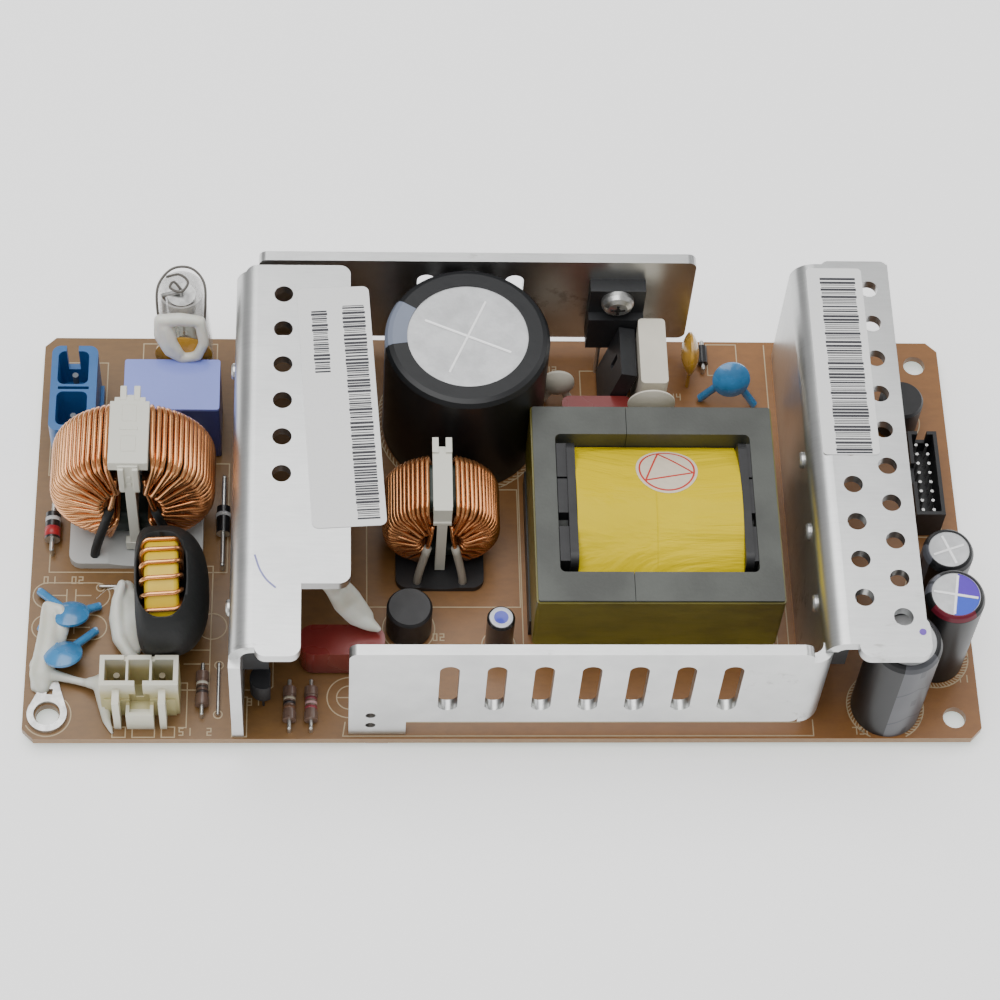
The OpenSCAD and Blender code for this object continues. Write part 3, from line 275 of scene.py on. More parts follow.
def can_top(centre, turned, reach, tint=None):
    """Bright can whose lid is scored with a turned cross, the score lines painted near white as a painted
    highlight; tint colours two of its quarters.
    """
    def recipe(p):
        u, v, _ = p.about(centre, turned)
        cloud = p.noise(190, 5, 0.65)
        fine = p.noise(1500, 2)
        near = abs(u).least(abs(v))
        inside = abs(u).most(abs(v)) < reach * MM
        # the score mask dents the bump and is painted near white: a painted highlight along the grooves
        score_and_glint = near.ramp(0.00032, 0.00014) * inside
        base = cloud.ramp(0.28, 0.72).mix((186, 187, 188), (214, 215, 216))
        if tint:
            base = (u > 0).mix(base, (v < 0).mix(tint[1], tint[0]))
        return {"base": score_and_glint.mix(base, (250, 250, 250)), "metal": 0.6,
                "rough": cloud.between(0.4, 0.55), "bump": (fine * 0.3 - score_and_glint * 0.7, 0.00006)}
    return recipe


def sleeve_recipe(p):
    cloud = p.noise(120, 2)
    wrinkle = p.scaled(1, 1, 0.3).noise(300, 3)
    return {"base": cloud.mix((18, 19, 21), (28, 29, 31)), "rough": cloud.between(0.34, 0.44),
            "specular": 0.35, "coat": 0.08, "coat_rough": 0.2, "bump": (wrinkle, 0.00005)}


def striped_sleeve(can, bearing, half_width, stripe, rim=None, chevrons=True):
    """Shrink sleeve with its polarity stripe; rim is a second colour where the lid end is stained."""
    centre = CANS[can]

    def recipe(p):
        _, _, turn = p.about(centre, bearing)
        _, _, z = p.axes()
        cloud = p.noise(120, 2)
        band = abs(turn) < half_width
        marked = cloud.mix(stripe, tuple(c * 0.9 for c in stripe))
        if chevrons:
            arrow = (z + abs(turn) * (0.0022 / half_width)).repeat(0.0105) < 0.00022
            bar = (abs(turn) < half_width * 0.14) * (z.repeat(0.0105) > 0.0042)
            marked = arrow.most(bar).mix(marked, (58, 60, 66))
        plain = sleeve_recipe(p)
        base = band.mix(plain["base"], marked)
        if rim:
            place, width, tone = rim
            _, _, other = p.about(centre, place)
            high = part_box(f"{can}_sleeve")[1][2]
            base = ((abs(other) < width) * (z > high - 0.0011)).mix(base, tone)
        return {**plain, "base": base}
    return recipe


def matt_black_recipe(p):
    cloud = p.noise(120, 2)
    weave = p.scaled(1, 1, 0.4).noise(420, 3, 0.6)
    return {"base": cloud.mix((24, 25, 25), (34, 35, 35)), "rough": cloud.between(0.5, 0.62),
            "specular": 0.35, "bump": (weave, 0.00016)}


def ferrite_recipe(p):
    grit = p.noise(1800, 3)
    cloud = p.noise(70, 4)
    return {"base": cloud.ramp(0.3, 0.7).mix((66, 68, 64), (84, 87, 82)), "rough": grit.between(0.4, 0.58),
            "bump": (grit, 0.00003)}


def yellow_tape_recipe(p):
    x, _, _ = p.axes()
    cloud = p.noise(60, 3)
    creases = p.scaled(0.45, 1.3, 1).noise(60, 4, 0.5, 2.2)
    lap = (x - TAPE_LAP).ramp(-0.0002, 0.0002)
    return {"base": cloud.mix((212, 186, 0), (228, 202, 0)),
            "rough": cloud.between(0.22, 0.32), "specular": 0.08, "coat": 0.03, "coat_rough": 0.06,
            "bump": (creases + lap * 0.12, 0.0013)}


def olive_tape_recipe(p):
    cloud = p.noise(45, 4, 0.6)
    smear = p.scaled(1, 1, 3).noise(120, 3)
    return {"base": (cloud * 0.6 + smear * 0.4).ramp(0.35, 0.65).mix((84, 78, 14), (108, 101, 24)),
            "rough": cloud.between(0.3, 0.46), "coat": 0.15, "bump": (smear, 0.00012)}


def disc_recipe(rgb):
    def recipe(p):
        cloud = p.noise(320, 3)
        return {"base": cloud.ramp(0.3, 0.7).mix(tuple(c * 0.86 for c in rgb), rgb),
                "rough": cloud.between(0.2, 0.34), "coat": 0.5, "coat_rough": 0.1,
                "bump": (p.noise(600, 2), 0.00006)}
    return recipe


def dipped_recipe(p):
    cloud = p.noise(120, 2)
    return {"base": cloud.mix((112, 36, 34), (132, 46, 42)), "rough": cloud.between(0.22, 0.32),
            "coat": 0.5, "coat_rough": 0.1, "bump": (p.noise(300, 2), 0.00003)}


def axial_recipe(rgb, bodies):
    """Lying bodies on bright wire: each body is (x, y of its middle, half its length)."""
    def recipe(p):
        x, y, _ = p.axes()
        cloud = p.noise(500, 2)
        mask = None
        for body_x, body_y, half in bodies:
            here = (abs(x - body_x * MM) < 0.003) * (abs(y - body_y * MM) < half * MM)
            mask = here if mask is None else mask.most(here)
        paint = cloud.mix(tuple(c * 0.85 for c in rgb), rgb)
        return {"base": mask.mix((196, 196, 192), paint), "metal": mask.between(0.9, 0.0),
                "rough": cloud.between(0.24, 0.36), "coat": 0.3, "bump": (cloud, 0.00003)}
    return recipe


def device_recipe(legs_end):
    """Black moulded body above legs_end (mm), bright legs below it."""
    def recipe(p):
        _, _, z = p.axes()
        cloud = p.noise(300, 3)
        legs = z < legs_end * MM
        return {"base": legs.mix(cloud.mix((28, 29, 31), (40, 41, 43)), (186, 186, 184)),
                "metal": legs * 0.9, "rough": cloud.between(0.42, 0.56) - legs * 0.15,
                "bump": (p.noise(1500, 2), 0.00003)}
    return recipe


def wafer_recipe(p):
    _, y, z = p.axes()
    cloud = p.noise(160, 3)
    # painted shade: the nylon is painted darker and more olive the deeper it lies in the pocket
    deep = z.ramp(0.0136, 0.0105) * (y > POCKET_FRONT)
    outer = cloud.mix((216, 212, 192), (228, 224, 206))
    return {"base": deep.mix(outer, (196, 186, 138)), "rough": cloud.between(0.32, 0.44), "soft": 0.08,
            "bump": (p.noise(700, 2), 0.00002)}


def film_box_recipe(p):
    _, _, z = p.axes()
    cloud = p.noise(140, 3)
    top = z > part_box("x_capacitor")[1][2] - 0.0006
    lid = cloud.mix((118, 132, 212), (128, 142, 222))
    # painted shade: the walls are painted a darker blue than the lid
    wall = cloud.mix((50, 56, 116), (58, 66, 132))
    return {"base": top.mix(wall, lid), "rough": cloud.between(0.3, 0.42), "coat": 0.2,
            "bump": (p.noise(900, 2), 0.00002)}


def tiny_can_recipe(p):
    u, v, _ = p.about(TINY_CAN, 40)
    _, _, z = p.axes()
    cloud = p.noise(500, 2)
    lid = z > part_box("small_capacitor")[1][2] - 0.0009
    away = (u * u + v * v).maths("SQRT")
    blue = away < 0.0013
    face = blue.mix(cloud.mix((196, 200, 214), (214, 218, 228)), (52, 62, 190))
    face = (away > 0.00205).mix(face, (24, 24, 28))
    return {"base": lid.mix(cloud.mix((20, 20, 24), (30, 30, 36)), face), "rough": cloud.between(0.25, 0.4),
            "coat": 0.4, "bump": (cloud, 0.00003)}


def paper_recipe(p):
    fibre = p.noise(2500, 2)
    return {"base": fibre.mix((232, 232, 231), (242, 242, 241)), "rough": fibre.between(0.42, 0.56),
            "bump": (p.noise(160, 2), 0.00004)}


def ink(name, rgb, rough=0.5):
    def recipe(p):
        cloud = p.noise(900, 3)
        return {"base": cloud.mix(tuple(c * 0.92 for c in rgb), rgb),
                "rough": cloud.between(rough, rough + 0.1)}
    return material(name, recipe)


def glass_recipe(p):
    shade = p.noise(300, 2)
    return {"base": shade.mix((226, 236, 232), (240, 246, 244)), "rough": shade.between(0.03, 0.08),
            "glass": 1.0, "ior": 1.45}


def clear_sleeve_recipe(p):
    shade = p.noise(260, 3)
    return {"base": shade.mix((206, 204, 200), (226, 224, 220)), "rough": shade.between(0.14, 0.26),
            "alpha": shade.between(0.3, 0.44), "coat": 0.6, "coat_rough": 0.08,
            "bump": (p.scaled(1, 1, 0.5).noise(240, 3), 0.00012)}


def silicone_recipe(p):
    cloud = p.noise(160, 3)
    return {"base": cloud.ramp(0.3, 0.7).mix((212, 206, 190), (232, 229, 218)),
            "rough": cloud.between(0.3, 0.46), "soft": 0.12, "coat": 0.15,
            "bump": (p.noise(260, 3), 0.00018)}


MATERIALS = {
    "board": material("board", board_recipe),
    "solder": material("solder", solder_recipe),
    "heatsink_aluminium": material("heatsink aluminium", aluminium_recipe),
    "can_aluminium": material("can aluminium", can_top((0, 0), 0, 0)),
    "capacitor_sleeve": material("capacitor sleeve", sleeve_recipe),
    "choke_core": plastic("choke core", (26, 44, 38)),
    "copper_wire": material("copper wire", copper_recipe),
    "white_plastic": plastic("white plastic", (224, 223, 210), 0.4, 0.05),
    "black_plastic": plastic("black plastic", (34, 34, 36), 0.45, 0.2),
    "powder_core": plastic("powder core", (232, 196, 34), 0.42),
    "shrink_sleeve": material("shrink sleeve", matt_black_recipe),
    "ferrite": material("ferrite", ferrite_recipe),
    "yellow_tape": material("yellow tape", yellow_tape_recipe),
    "olive_tape": material("olive tape", olive_tape_recipe),
    "pale_blue_plastic": plastic("pale blue plastic", (132, 152, 220), 0.35, 0.08, coat=0.2),
    "blue_plastic": plastic("blue plastic", (40, 104, 168), 0.36, 0.12),
    "tinned_metal": material("tinned metal", tinned_recipe),
    "clear_glass": material("clear glass", glass_recipe),
    "clear_sleeve": material("clear sleeve", clear_sleeve_recipe),
    "sky_blue_coating": material("sky blue coating", disc_recipe((62, 138, 196))),
    "red_brown_coating": material("red brown coating", dipped_recipe),
    "dark_blue_sleeve": plastic("dark blue sleeve", (44, 52, 140), 0.3, coat=0.4),
    "cream_ceramic": plastic("cream ceramic", (222, 216, 200), 0.6, 0.1, bump=0.00006),
    "amber_coating": material("amber coating", disc_recipe((196, 148, 52))),
    "device_plastic": plastic("device plastic", (36, 37, 40), 0.5, 0.2),
    "screw_steel": material("screw steel", tinned_recipe),
    "resistor_coating": plastic("resistor coating", (142, 118, 96), 0.35),
    "silicone": material("silicone", silicone_recipe),
    "label_paper": material("label paper", paper_recipe),
}
SLOTS = {part["node"]: part["material_slot"] for part in frame["record"]["subparts"]}
# Nodes whose look goes beyond their slot's plain material
LOOKS = {
    "bulk_capacitor_sleeve": material(
        "bulk sleeve", striped_sleeve("bulk_capacitor", 168, 20, (128, 136, 154), chevrons=False)),
    "output_capacitor_large_sleeve": material(
        "large output sleeve", striped_sleeve("output_capacitor_large", -66, 33, (84, 85, 90))),
    "output_capacitor_middle_sleeve": material(
        "middle output sleeve", striped_sleeve("output_capacitor_middle", 150, 26, (104, 106, 114),
                                               (-100, 50, (104, 26, 42)))),
    "output_capacitor_small_sleeve": material(
        "small output sleeve", striped_sleeve("output_capacitor_small", 190, 26, (104, 106, 114))),
    "x_capacitor": material("film box", film_box_recipe),
    "small_capacitor": material("tiny can", tiny_can_recipe),
    "ground_lug": material("lug", lug_recipe),
    "line_choke_base": plastic("choke foot", (196, 198, 196), 0.36, 0.05),
    "inlet_wafer": material("wafer nylon", wafer_recipe),
    "standing_fuse_caps": material("fuse caps", lug_recipe),
    "axial_resistors": material("resistors", axial_recipe(
        (112, 88, 76), [(x, y, 3.2) for x, y in RESISTORS])),
    "axial_diodes": material("diodes", axial_recipe(
        (30, 30, 33), [(x, y, half) for (x, y), half in zip(DIODES, (2.7, 2.75, 1.9))])),
    "rear_transistor": material("rear device", device_recipe(REAR_LEGS)),
    "wall_transistors": material("wall devices", device_recipe(WALL_LEGS)),
    "rear_rectifier": material("rectifier", device_recipe(RECTIFIER_LEGS)),
    # the pins' colours are darkened as painted shade inside their pockets
    "inlet_pins": plastic("wafer pins in painted shade", (120, 108, 74), 0.3, 0.2),
    "blue_connector_pins": plastic("connector pins in painted shade", (96, 104, 112), 0.3, 0.2),
}
for node_name, cad in frame["nodes"].items():
    cad.data.materials.clear()
    cad.data.materials.append(LOOKS.get(node_name, MATERIALS[SLOTS[node_name]]))


# ---------------- new pieces
def show(name, mesh, slot, *nodes, look=None, smooth=True):
    """Adds a mesh that rides with the part; it stands for the named CAD nodes, if any."""
    piece = bpy.data.objects.new(name, mesh)
    bpy.context.collection.objects.link(piece)
    mesh.materials.append(look or MATERIALS[slot])
    for face in mesh.polygons:
        face.use_smooth = smooth
    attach(piece, "root")
    if nodes:
        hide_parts(*nodes)
    return piece


def mesh_of(name, points, faces):
    mesh = bpy.data.meshes.new(name)
    mesh.from_pydata(points, [], faces)
    return mesh


def helper(name, mesh):
    """An object that is only worked on and then goes away."""
    made = bpy.data.objects.new(name, mesh)
    bpy.context.collection.objects.link(made)
    return made


def worked(body, *helpers):
    """The body's mesh with its modifiers applied; the body and its helpers go away."""
    graph = bpy.context.evaluated_depsgraph_get()
    made = bpy.data.meshes.new_from_object(body.evaluated_get(graph))
    for thing in (*helpers, body):
        bpy.data.objects.remove(thing, do_unlink=True)
    return made


def circle(steps):
    """Cosine and sine of each step round a circle."""
    angles = [2 * math.pi * k / steps for k in range(steps)]
    return [(math.cos(angle), math.sin(angle)) for angle in angles]


def stitch(low, high, count, inside_out=False):
    """Four-sided faces between two rings of points, which start at low and at high."""
    pairs = [(k, (k + 1) % count) for k in range(count)]
    if inside_out:
        return [(low + a, high + a, high + b, low + b) for a, b in pairs]
    return [(low + a, low + b, high + b, high + a) for a, b in pairs]


def sweep(paths, radius, sides=10):
    """One mesh of round tubes along the given lists of points."""
    points, faces = [], []
    for path in paths:
        path = [Vector(p) for p in path]
        start = len(points)
        side = None
        for i, here in enumerate(path):
            along = (path[min(i + 1, len(path) - 1)] - path[max(i - 1, 0)]).normalized()
            if side is None:
                side = along.orthogonal()
            side = (side - along * side.dot(along)).normalized()
            across = along.cross(side)
            points += [here + (side * c + across * s) * radius for c, s in circle(sides)]
            if i:
                low = start + (i - 1) * sides
                faces += stitch(low, low + sides, sides)
        faces.append(tuple(range(start + sides - 1, start - 1, -1)))
        faces.append(tuple(range(len(points) - sides, len(points))))
    return mesh_of("tubes", points, faces)


def curved(points, steps=8):
    """A smooth line through the given points."""
    pts = [Vector(p) for p in points]
    pts = [pts[0] * 2 - pts[1]] + pts + [pts[-1] * 2 - pts[-2]]
    line = []
    for a, b, c, d in zip(pts, pts[1:], pts[2:], pts[3:]):
        for k in range(steps):
            t = k / steps
            line.append(0.5 * (2 * b + (c - a) * t + (2 * a - 5 * b + 4 * c - d) * t * t
                               + (3 * b - a - 3 * c + d) * t ** 3))
    return line + [pts[-2]]


def ring_section(outer, inner, half, corner, steps=5):
    """Points round a ring's section, from the front of its outer face towards the back."""
    centres = [(outer - corner, half - corner, 0), (inner + corner, half - corner, 90),
               (inner + corner, corner - half, 180), (outer - corner, corner - half, 270)]
    around = []
    for radial, axial, first in centres:
        for k in range(steps + 1):
            angle = math.radians(first + 90 * k / steps)
            around.append((radial + corner * math.cos(angle), axial + corner * math.sin(angle)))
    return around


def half_winding(centre, outer, inner, half, wire, turns, spans, corner, rear, front, mirror, seed):
    """Half of a ring choke's winding: even turns outside, three layers deep inside the hole.

    Ring sizes, wire and the places of the two leads are in millimetres; spans are the bearings in
    degrees that the turns cover outside and inside.
    """
    rng = random.Random(seed)
    hole_corner = 0.9
    body = []
    for number in range(turns):
        layer = number % 3
        inside = inner + (2 - layer) * wire
        wobble = rng.uniform(-0.03, 0.03)
        for k in range(24):
            side, share = divmod(k, 6)
            angle = math.radians(side * 90 + 90 * share / 5)
            outside = side in (0, 3)
            round_off = corner if outside else hole_corner
            reach = half if outside else half + layer * wire * 0.7
            radial = outer - corner if outside else inside + hole_corner
            radial += round_off * math.cos(angle)
            axial = (reach - round_off) * (1 if side < 2 else -1) + round_off * math.sin(angle)
            depth = (outer - radial) / (outer - inner)
            turn_at = (number + k / 24) / turns
            phi = sum(weight * (low + (high - low) * turn_at)
                      for weight, (low, high) in zip((1 - depth, depth), spans))
            phi = math.radians(phi) + wobble * math.sin(math.pi * k / 24)
            body.append(Vector((radial * math.sin(phi), axial, -radial * math.cos(phi))))
    body = body[3:-7]
    floor_z = TOP / MM - centre[2]
    first = curved([(rear[0], rear[1], floor_z - 2.4), (rear[0], rear[1], floor_z + 1.2), body[0]], 4)[:-1]
    last = curved([body[-1], (0.4 * front[0] + 0.6, front[1] + 1.6, 0.3 * inner),
                   (front[0], front[1], floor_z + 3), (front[0], front[1], floor_z - 2.4)], 6)[1:]
    flip = -1 if mirror else 1
    path = [Vector((centre[0] + flip * p[0], centre[1] + p[1], centre[2] + p[2])) * MM
            for p in first + body + last]
    return path, path[-12:-3]


def middle_mm(node):
    low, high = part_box(node)
    return [(a + b) / 2 / MM for a, b in zip(low, high)]


def winding(choke, seed, *shape):
    """Shows both halves of a ring choke's winding in copper and returns their covered front leads."""
    centre, wire = middle_mm(f"{choke}_core"), shape[3]
    halves = [half_winding(centre, *shape, flip, seed + flip) for flip in (0, 1)]
    show(f"{choke}_copper", sweep([path for path, _ in halves], wire / 2 * MM), "copper_wire",
         f"{choke}_windings")
    return [lead for _, lead in halves]


line_leads = winding("line_choke", 5, 14.15, 5.35, 6.3, 0.95, 34, ((16, 168), (23, 158)), 2.4,
                     (3, 8.9), (7.2, -8.9))
show("line_choke_lead_sleeves", sweep(line_leads, 0.85 * MM, 12), "shrink_sleeve")
second_leads = winding("second_choke", 8, 10.2, 3.75, 5.9, 0.78, 29, ((20, 170), (31, 160)), 1.9,
                       (2.8, 7.8), (4, -9))
show("second_choke_lead_sleeves", sweep(second_leads, 0.75 * MM, 12), "clear_sleeve",
     look=plastic("grey lead sleeve", (168, 162, 150), 0.34, 0.1, coat=0.2))


def blocks(boxes, bevel, centre=(0, 0, 0)):
    """Boxes of (low corner, high corner) in millimetres with softened edges, in one mesh."""
    whole = bmesh.new()
    for low, high in boxes:
        made = bmesh.ops.create_cube(whole, size=1)
        for vertex in made["verts"]:
            vertex.co = Vector([centre[i] + (low[i] + high[i]) / 2 + vertex.co[i] * (high[i] - low[i])
                                for i in range(3)])
    bmesh.ops.bevel(whole, geom=list(whole.edges), offset=bevel, segments=2, affect="EDGES", profile=0.5)
    bmesh.ops.scale(whole, vec=(MM, MM, MM), verts=whole.verts)
    mesh = bpy.data.meshes.new("blocks")
    whole.to_mesh(mesh)
    whole.free()
    return mesh


# line choke's divider: top block, prongs behind, ribs and stem in front, foot; about the ring's middle
divider = [
    ((-3.45, -7.4, 12.8), (3.45, 5.4, 15.2)), ((-2.7, 5, 12.8), (2.7, 6.3, 15.1)),
    ((-1.75, -7.8, 6), (1.75, -5.9, 14.6)), ((-1.75, 6, 8.7), (1.75, 7.1, 14.6)),
    ((-0.9, -7.6, -14), (0.9, -6.4, 6.4)), ((-1.75, -7.8, -14), (1.75, -6.2, -11.6)),
    ((-0.6, -7, -8), (0.6, 7, 8)), ((-0.9, 6.2, -14), (0.9, 7.4, 9)),
    ((-1.75, -8.3, 7.4), (-0.75, -7.6, 14.2)), ((0.75, -8.3, 7.4), (1.75, -7.6, 14.2)),
    ((-0.4, -7.95, 8), (0.4, -7.7, 9.2)), ((-0.4, -7.95, 10.2), (0.4, -7.7, 11.4)),
    ((-1.75, 5.6, 13.8), (-0.65, 8.6, 15.2)), ((0.65, 5.6, 13.8), (1.75, 8.6, 15.2)),
    ((-1.6, -0.6, 15.1), (1.6, 0, 15.3)), ((-1.3, 1.2, 15.1), (1.3, 4.6, 15.26)),
    ((-1.3, -5, 15.1), (1.3, -1.8, 15.26)),
]
show("line_choke_divider", blocks(divider, 0.12, middle_mm("line_choke_core")), "white_plastic",
     "line_choke_separator", smooth=False)

# filter choke: round copper turns over the yellow ring
filter_centre = Vector(middle_mm("filter_choke_core"))
turned = math.radians(2)


def at_filter(p):
    """From the ring's own frame (axis along X) to the part's frame."""
    return (filter_centre + Vector((p[0] * math.cos(turned) - p[1] * math.sin(turned),
                                    p[0] * math.sin(turned) + p[1] * math.cos(turned), p[2]))) * MM


filter_path = []
for number in range(20):
    section = ring_section(10.5, 5.5, 3.5, 1.3)
    for k, (radial, axial) in enumerate(section):
        phi = math.radians(24 + 312 * (number + k / len(section)) / 20)
        filter_path.append(at_filter((-axial, radial * math.sin(phi), -radial * math.cos(phi))))
show("filter_choke_copper", sweep([filter_path], 0.4 * MM), "copper_wire", "filter_choke_winding")


def revolved(profile, steps=96):
    """A closed surface turned about X from (x, radius) pairs that start and end on the axis."""
    points, faces = [], []
    for x, radius in profile:
        points += [(x, radius * c, radius * s) for c, s in circle(steps)]
    for i in range(len(profile) - 1):
        faces += stitch(i * steps, (i + 1) * steps, steps, inside_out=True)
    faces.append(tuple(range(steps)))
    last = (len(profile) - 1) * steps
    faces.append(tuple(range(last + steps - 1, last - 1, -1)))
    return mesh_of("revolved", points, faces)


def egg(x_low, x_high, radius, steps=30):
    """Profile of a thick rounded disc: square-shouldered below the middle, rounder above it."""
    line = []
    for k in range(1, steps):
        x = math.cos(math.pi * (1 - k / steps))
        limit, power = (-x_low, 4.5) if x < 0 else (x_high, 2.5)
        line.append((limit * x, radius * (1 - abs(x) ** power) ** (1 / power)))
    return line


def cut(mesh, *tools):
    """The mesh with each tool mesh taken away from it."""
    body = helper("cut body", mesh)
    cutters = [helper("cutter", tool) for tool in tools]
    for cutter in cutters:
        step = body.modifiers.new("cut", "BOOLEAN")
        step.operation = "DIFFERENCE"
        step.solver = "EXACT"
        step.object = cutter
    return worked(body, *cutters)


def moved(mesh, place):
    """The mesh with every point put through place."""
    for vertex in mesh.vertices:
        vertex.co = place(vertex.co)
    return mesh


def upright_oval(half_x, half_y, low, high, steps=64):
    """A standing block with a square-shouldered oval outline."""
    points = []
    for z in (low, high):
        for c, s in circle(steps):
            points.append((half_x * math.copysign(abs(c) ** 0.75, c),
                           half_y * math.copysign(abs(s) ** 0.75, s), z))
    faces = stitch(0, steps, steps) + [tuple(range(steps - 1, -1, -1)), tuple(range(steps, 2 * steps))]
    return mesh_of("oval", points, faces)


tilt = Matrix.Rotation(math.radians(8), 4, "X")
sleeve = cut(revolved(egg(-4.9, 8, 11.6)), revolved([(-4.15, 0.3), (-4.1, 11), (4.1, 11), (4.15, 0.3)]),
             moved(upright_oval(4.4, 7.9, 3.5, 14), lambda p: tilt @ p))
show("filter_choke_smooth_sleeve", moved(sleeve, at_filter), "shrink_sleeve", "filter_choke_sleeve")


# ---------------- printing
def printed(lines, width, low, high):
    """Flat mitred ribbon along each line of (x, y) points, in millimetres."""
    points, faces = [], []
    for number, line in enumerate(lines):
        line = [Vector(p[:2]) for p in line]
        closed = len(line) > 2 and (line[0] - line[-1]).length < 1e-4
        steps = [(b - a).normalized() for a, b in zip(line, line[1:])]
        top = high + 0.0015 * (number % 7)
        start = len(points)
        for k, p in enumerate(line):
            before = steps[k - 1] if k or closed else steps[0]
            after = steps[k] if k < len(steps) else (steps[0] if closed else steps[-1])
            mitre = Vector((-before.y - after.y, before.x + after.x)).normalized()
            reach = width / 2 / max(0.4, mitre.dot(Vector((-after.y, after.x))))
            push = Vector((0, 0))
            if not closed and k == 0:
                push = steps[0] * (-width / 2)
            elif not closed and k == len(line) - 1:
                push = steps[-1] * (width / 2)
            for side in (-1, 1):
                at = p + push + mitre * reach * side
                points += [(at.x * MM, at.y * MM, low * MM), (at.x * MM, at.y * MM, top * MM)]
        for k in range(len(line) - 1):
            a, b = start + 4 * k, start + 4 * k + 4
            faces += [(a + 1, b + 1, b + 3, a + 3), (a, b, b + 1, a + 1), (b + 2, a + 2, a + 3, b + 3)]
    return mesh_of("printed lines", points, faces)


def arc(x, y, radius, start=0, end=360, steps=36):
    return [(x + radius * math.cos(math.radians(start + (end - start) * k / steps)),
             y + radius * math.sin(math.radians(start + (end - start) * k / steps)))
            for k in range(steps + 1)]


def box_line(x0, y0, x1, y1):
    return [(x0, y0), (x1, y0), (x1, y1), (x0, y1), (x0, y0)]


def capsule(x0, x1, y, radius):
    left, right_end = arc(x0, y, radius, 90, 270, 14), arc(x1, y, radius, -90, 90, 14)
    return left + right_end + left[:1]


def hatched(x, y, low, high, start=0, end=360, every=6):
    """Ring of short slanting strokes, as round a capacitor's foot."""
    return [[arc(x, y, low, a, a, 1)[0], arc(x, y, high, a + 4, a + 4, 1)[0]]
            for a in range(start, end, every)]


DIGIT = {"0": "abcdef", "1": "bc", "2": "abged", "4": "fgbc", "5": "afgcd", "7": "abc", "9": "abgfcd"}
STROKE = {"a": ((0, 2), (1, 2)), "b": ((1, 2), (1, 1)), "c": ((1, 1), (1, 0)), "d": ((0, 0), (1, 0)),
          "e": ((0, 0), (0, 1)), "f": ((0, 1), (0, 2)), "g": ((0, 1), (1, 1))}


def number_marks(text, x, y, size=0.66):
    """Plain numbers in straight strokes."""
    strokes = []
    for i, digit in enumerate(text):
        for name in DIGIT[digit]:
            strokes.append([(x + (i * 1.9 + p[0]) * size, y + p[1] * size) for p in STROKE[name]])
    return strokes


BULK, SMALL, MIDDLE, LARGE = CANS.values()
board_lines = [
    box_line(-81.8, -8.7, -49.8, 14.4), capsule(-81.8, -73.3, -13.5, 2.6), capsule(-81.8, -73.5, -20, 2.5),
    arc(-72.4, -11.85, 0.75), arc(-50.8, -27.65, 0.75), arc(-50.8, -37.45, 0.75),
    arc(-52.2, -19.8, 2.6), [(-54, -7.4), (-52.3, -7.4), (-52.5, -32.6), (-57.4, -32.6)],
    [(-59.6, -24.6), (-52.5, -24.6)], [(-57, -27.4), (-52.5, -27.4)],
    arc(-80.7, -37.55, 4.15, -150, 45), box_line(-69.2, -41.9, -66.9, -39.9),
    box_line(-65.7, -41.9, -61.8, -39.9), box_line(-60.6, -41.9, -58.3, -39.9),
    [(-57.4, -31.2), (-56.3, -31.2), (-56.3, -40), (-57.6, -40)],
    box_line(-48.3, -41.8, -45.7, -34), [(-46.1, -32.6), (-41.9, -32.6), (-41.2, -31.9), (-41.2, -25)],
    arc(-27.6, -34.1, 4), arc(-27.6, -34.1, 2.3), [(-29.7, -34.1), (-25.5, -34.1)],
    [(-17.8, -39), (52.4, -39)], [(-28.4, -39), (-28.8, -41.7), (54.7, -41.7), (54.7, -38.6)],
    [(51.6, 41.5), (51.6, -38.4)], box_line(54.9, -10.5, 57, 1), arc(57.6, 25.6, 2.3),
    box_line(-24.5, -15.8, 3.3, 9), box_line(-66.5, 34, -52.6, 41), arc(*BULK, 15.9),
    arc(-17, -20.25, 4.7), arc(75.4, 24.25, 4.7), arc(*MIDDLE, 6.3), arc(*LARGE, 6.9, -62, 242),
    arc(*SMALL, 5.4), box_line(75.4, -0.9, 81.9, 17.9), box_line(-82.9, 11.8, -73, 36.6),
    box_line(3.6, -26.9, 49.6, 15.5), box_line(40.5, 34.6, 46.2, 41.6), arc(*TINY_CAN, 3),
    box_line(16, 23.5, 24.8, 35.4),
]
for y in (-13.5, -20):
    board_lines += [[(-80.9, y), (-78.4, y)], [(-78.4, y - 1.2), (-78.4, y + 1.2)],
                    [(-76.8, y - 1.2), (-76.8, y + 1.2)], [(-76.8, y), (-74.1, y)]]
board_lines += hatched(*LARGE, 6.3, 6.9, -60, 238) + hatched(*MIDDLE, 5.5, 6.3)
board_lines += hatched(*BULK, 15.2, 15.9, every=4)
for text, x, y in (("01", -82.6, -11), ("02", -77.6, -11), ("51", -57.5, -41.5), ("91", -45.6, -35.6),
                   ("02", -12.6, -22.6), ("75", 61.8, -41.4), ("71", 81.5, -31), ("250", -12.6, -25.6),
                   ("2", -52.6, -41.5), ("12", 9.6, 35), ("14", 33, 29)):
    board_lines += number_marks(text, x, y)
top_mm = TOP / MM
show("board_printing", printed(board_lines, 0.2, top_mm - 0.01, top_mm + 0.02), "white_plastic",
     look=ink("board print", (192, 172, 138)), smooth=False)


def from_corner(corner, turned_by, points):
    """Points (along, up) of a label that starts at corner and is turned, as X and Y."""
    c, s = math.cos(math.radians(turned_by)), math.sin(math.radians(turned_by))
    return [(corner[0] + c * u - s * v, corner[1] + s * u + c * v) for u, v in points]


def barcode(corner, turned_by, length, height, seed):
    """Bars side by side along a label: corner and size in millimetres, bars of three widths."""
    rng = random.Random(seed)
    bars, place = [], 0.0
    while place < length:
        width = rng.choice((0.17, 0.17, 0.34, 0.5))
        ends = [(place + width / 2, 0), (place + width / 2, height)]
        bars.append((width, from_corner(corner, turned_by, ends)))
        place += width + rng.choice((0.17, 0.17, 0.26, 0.34))
    return bars


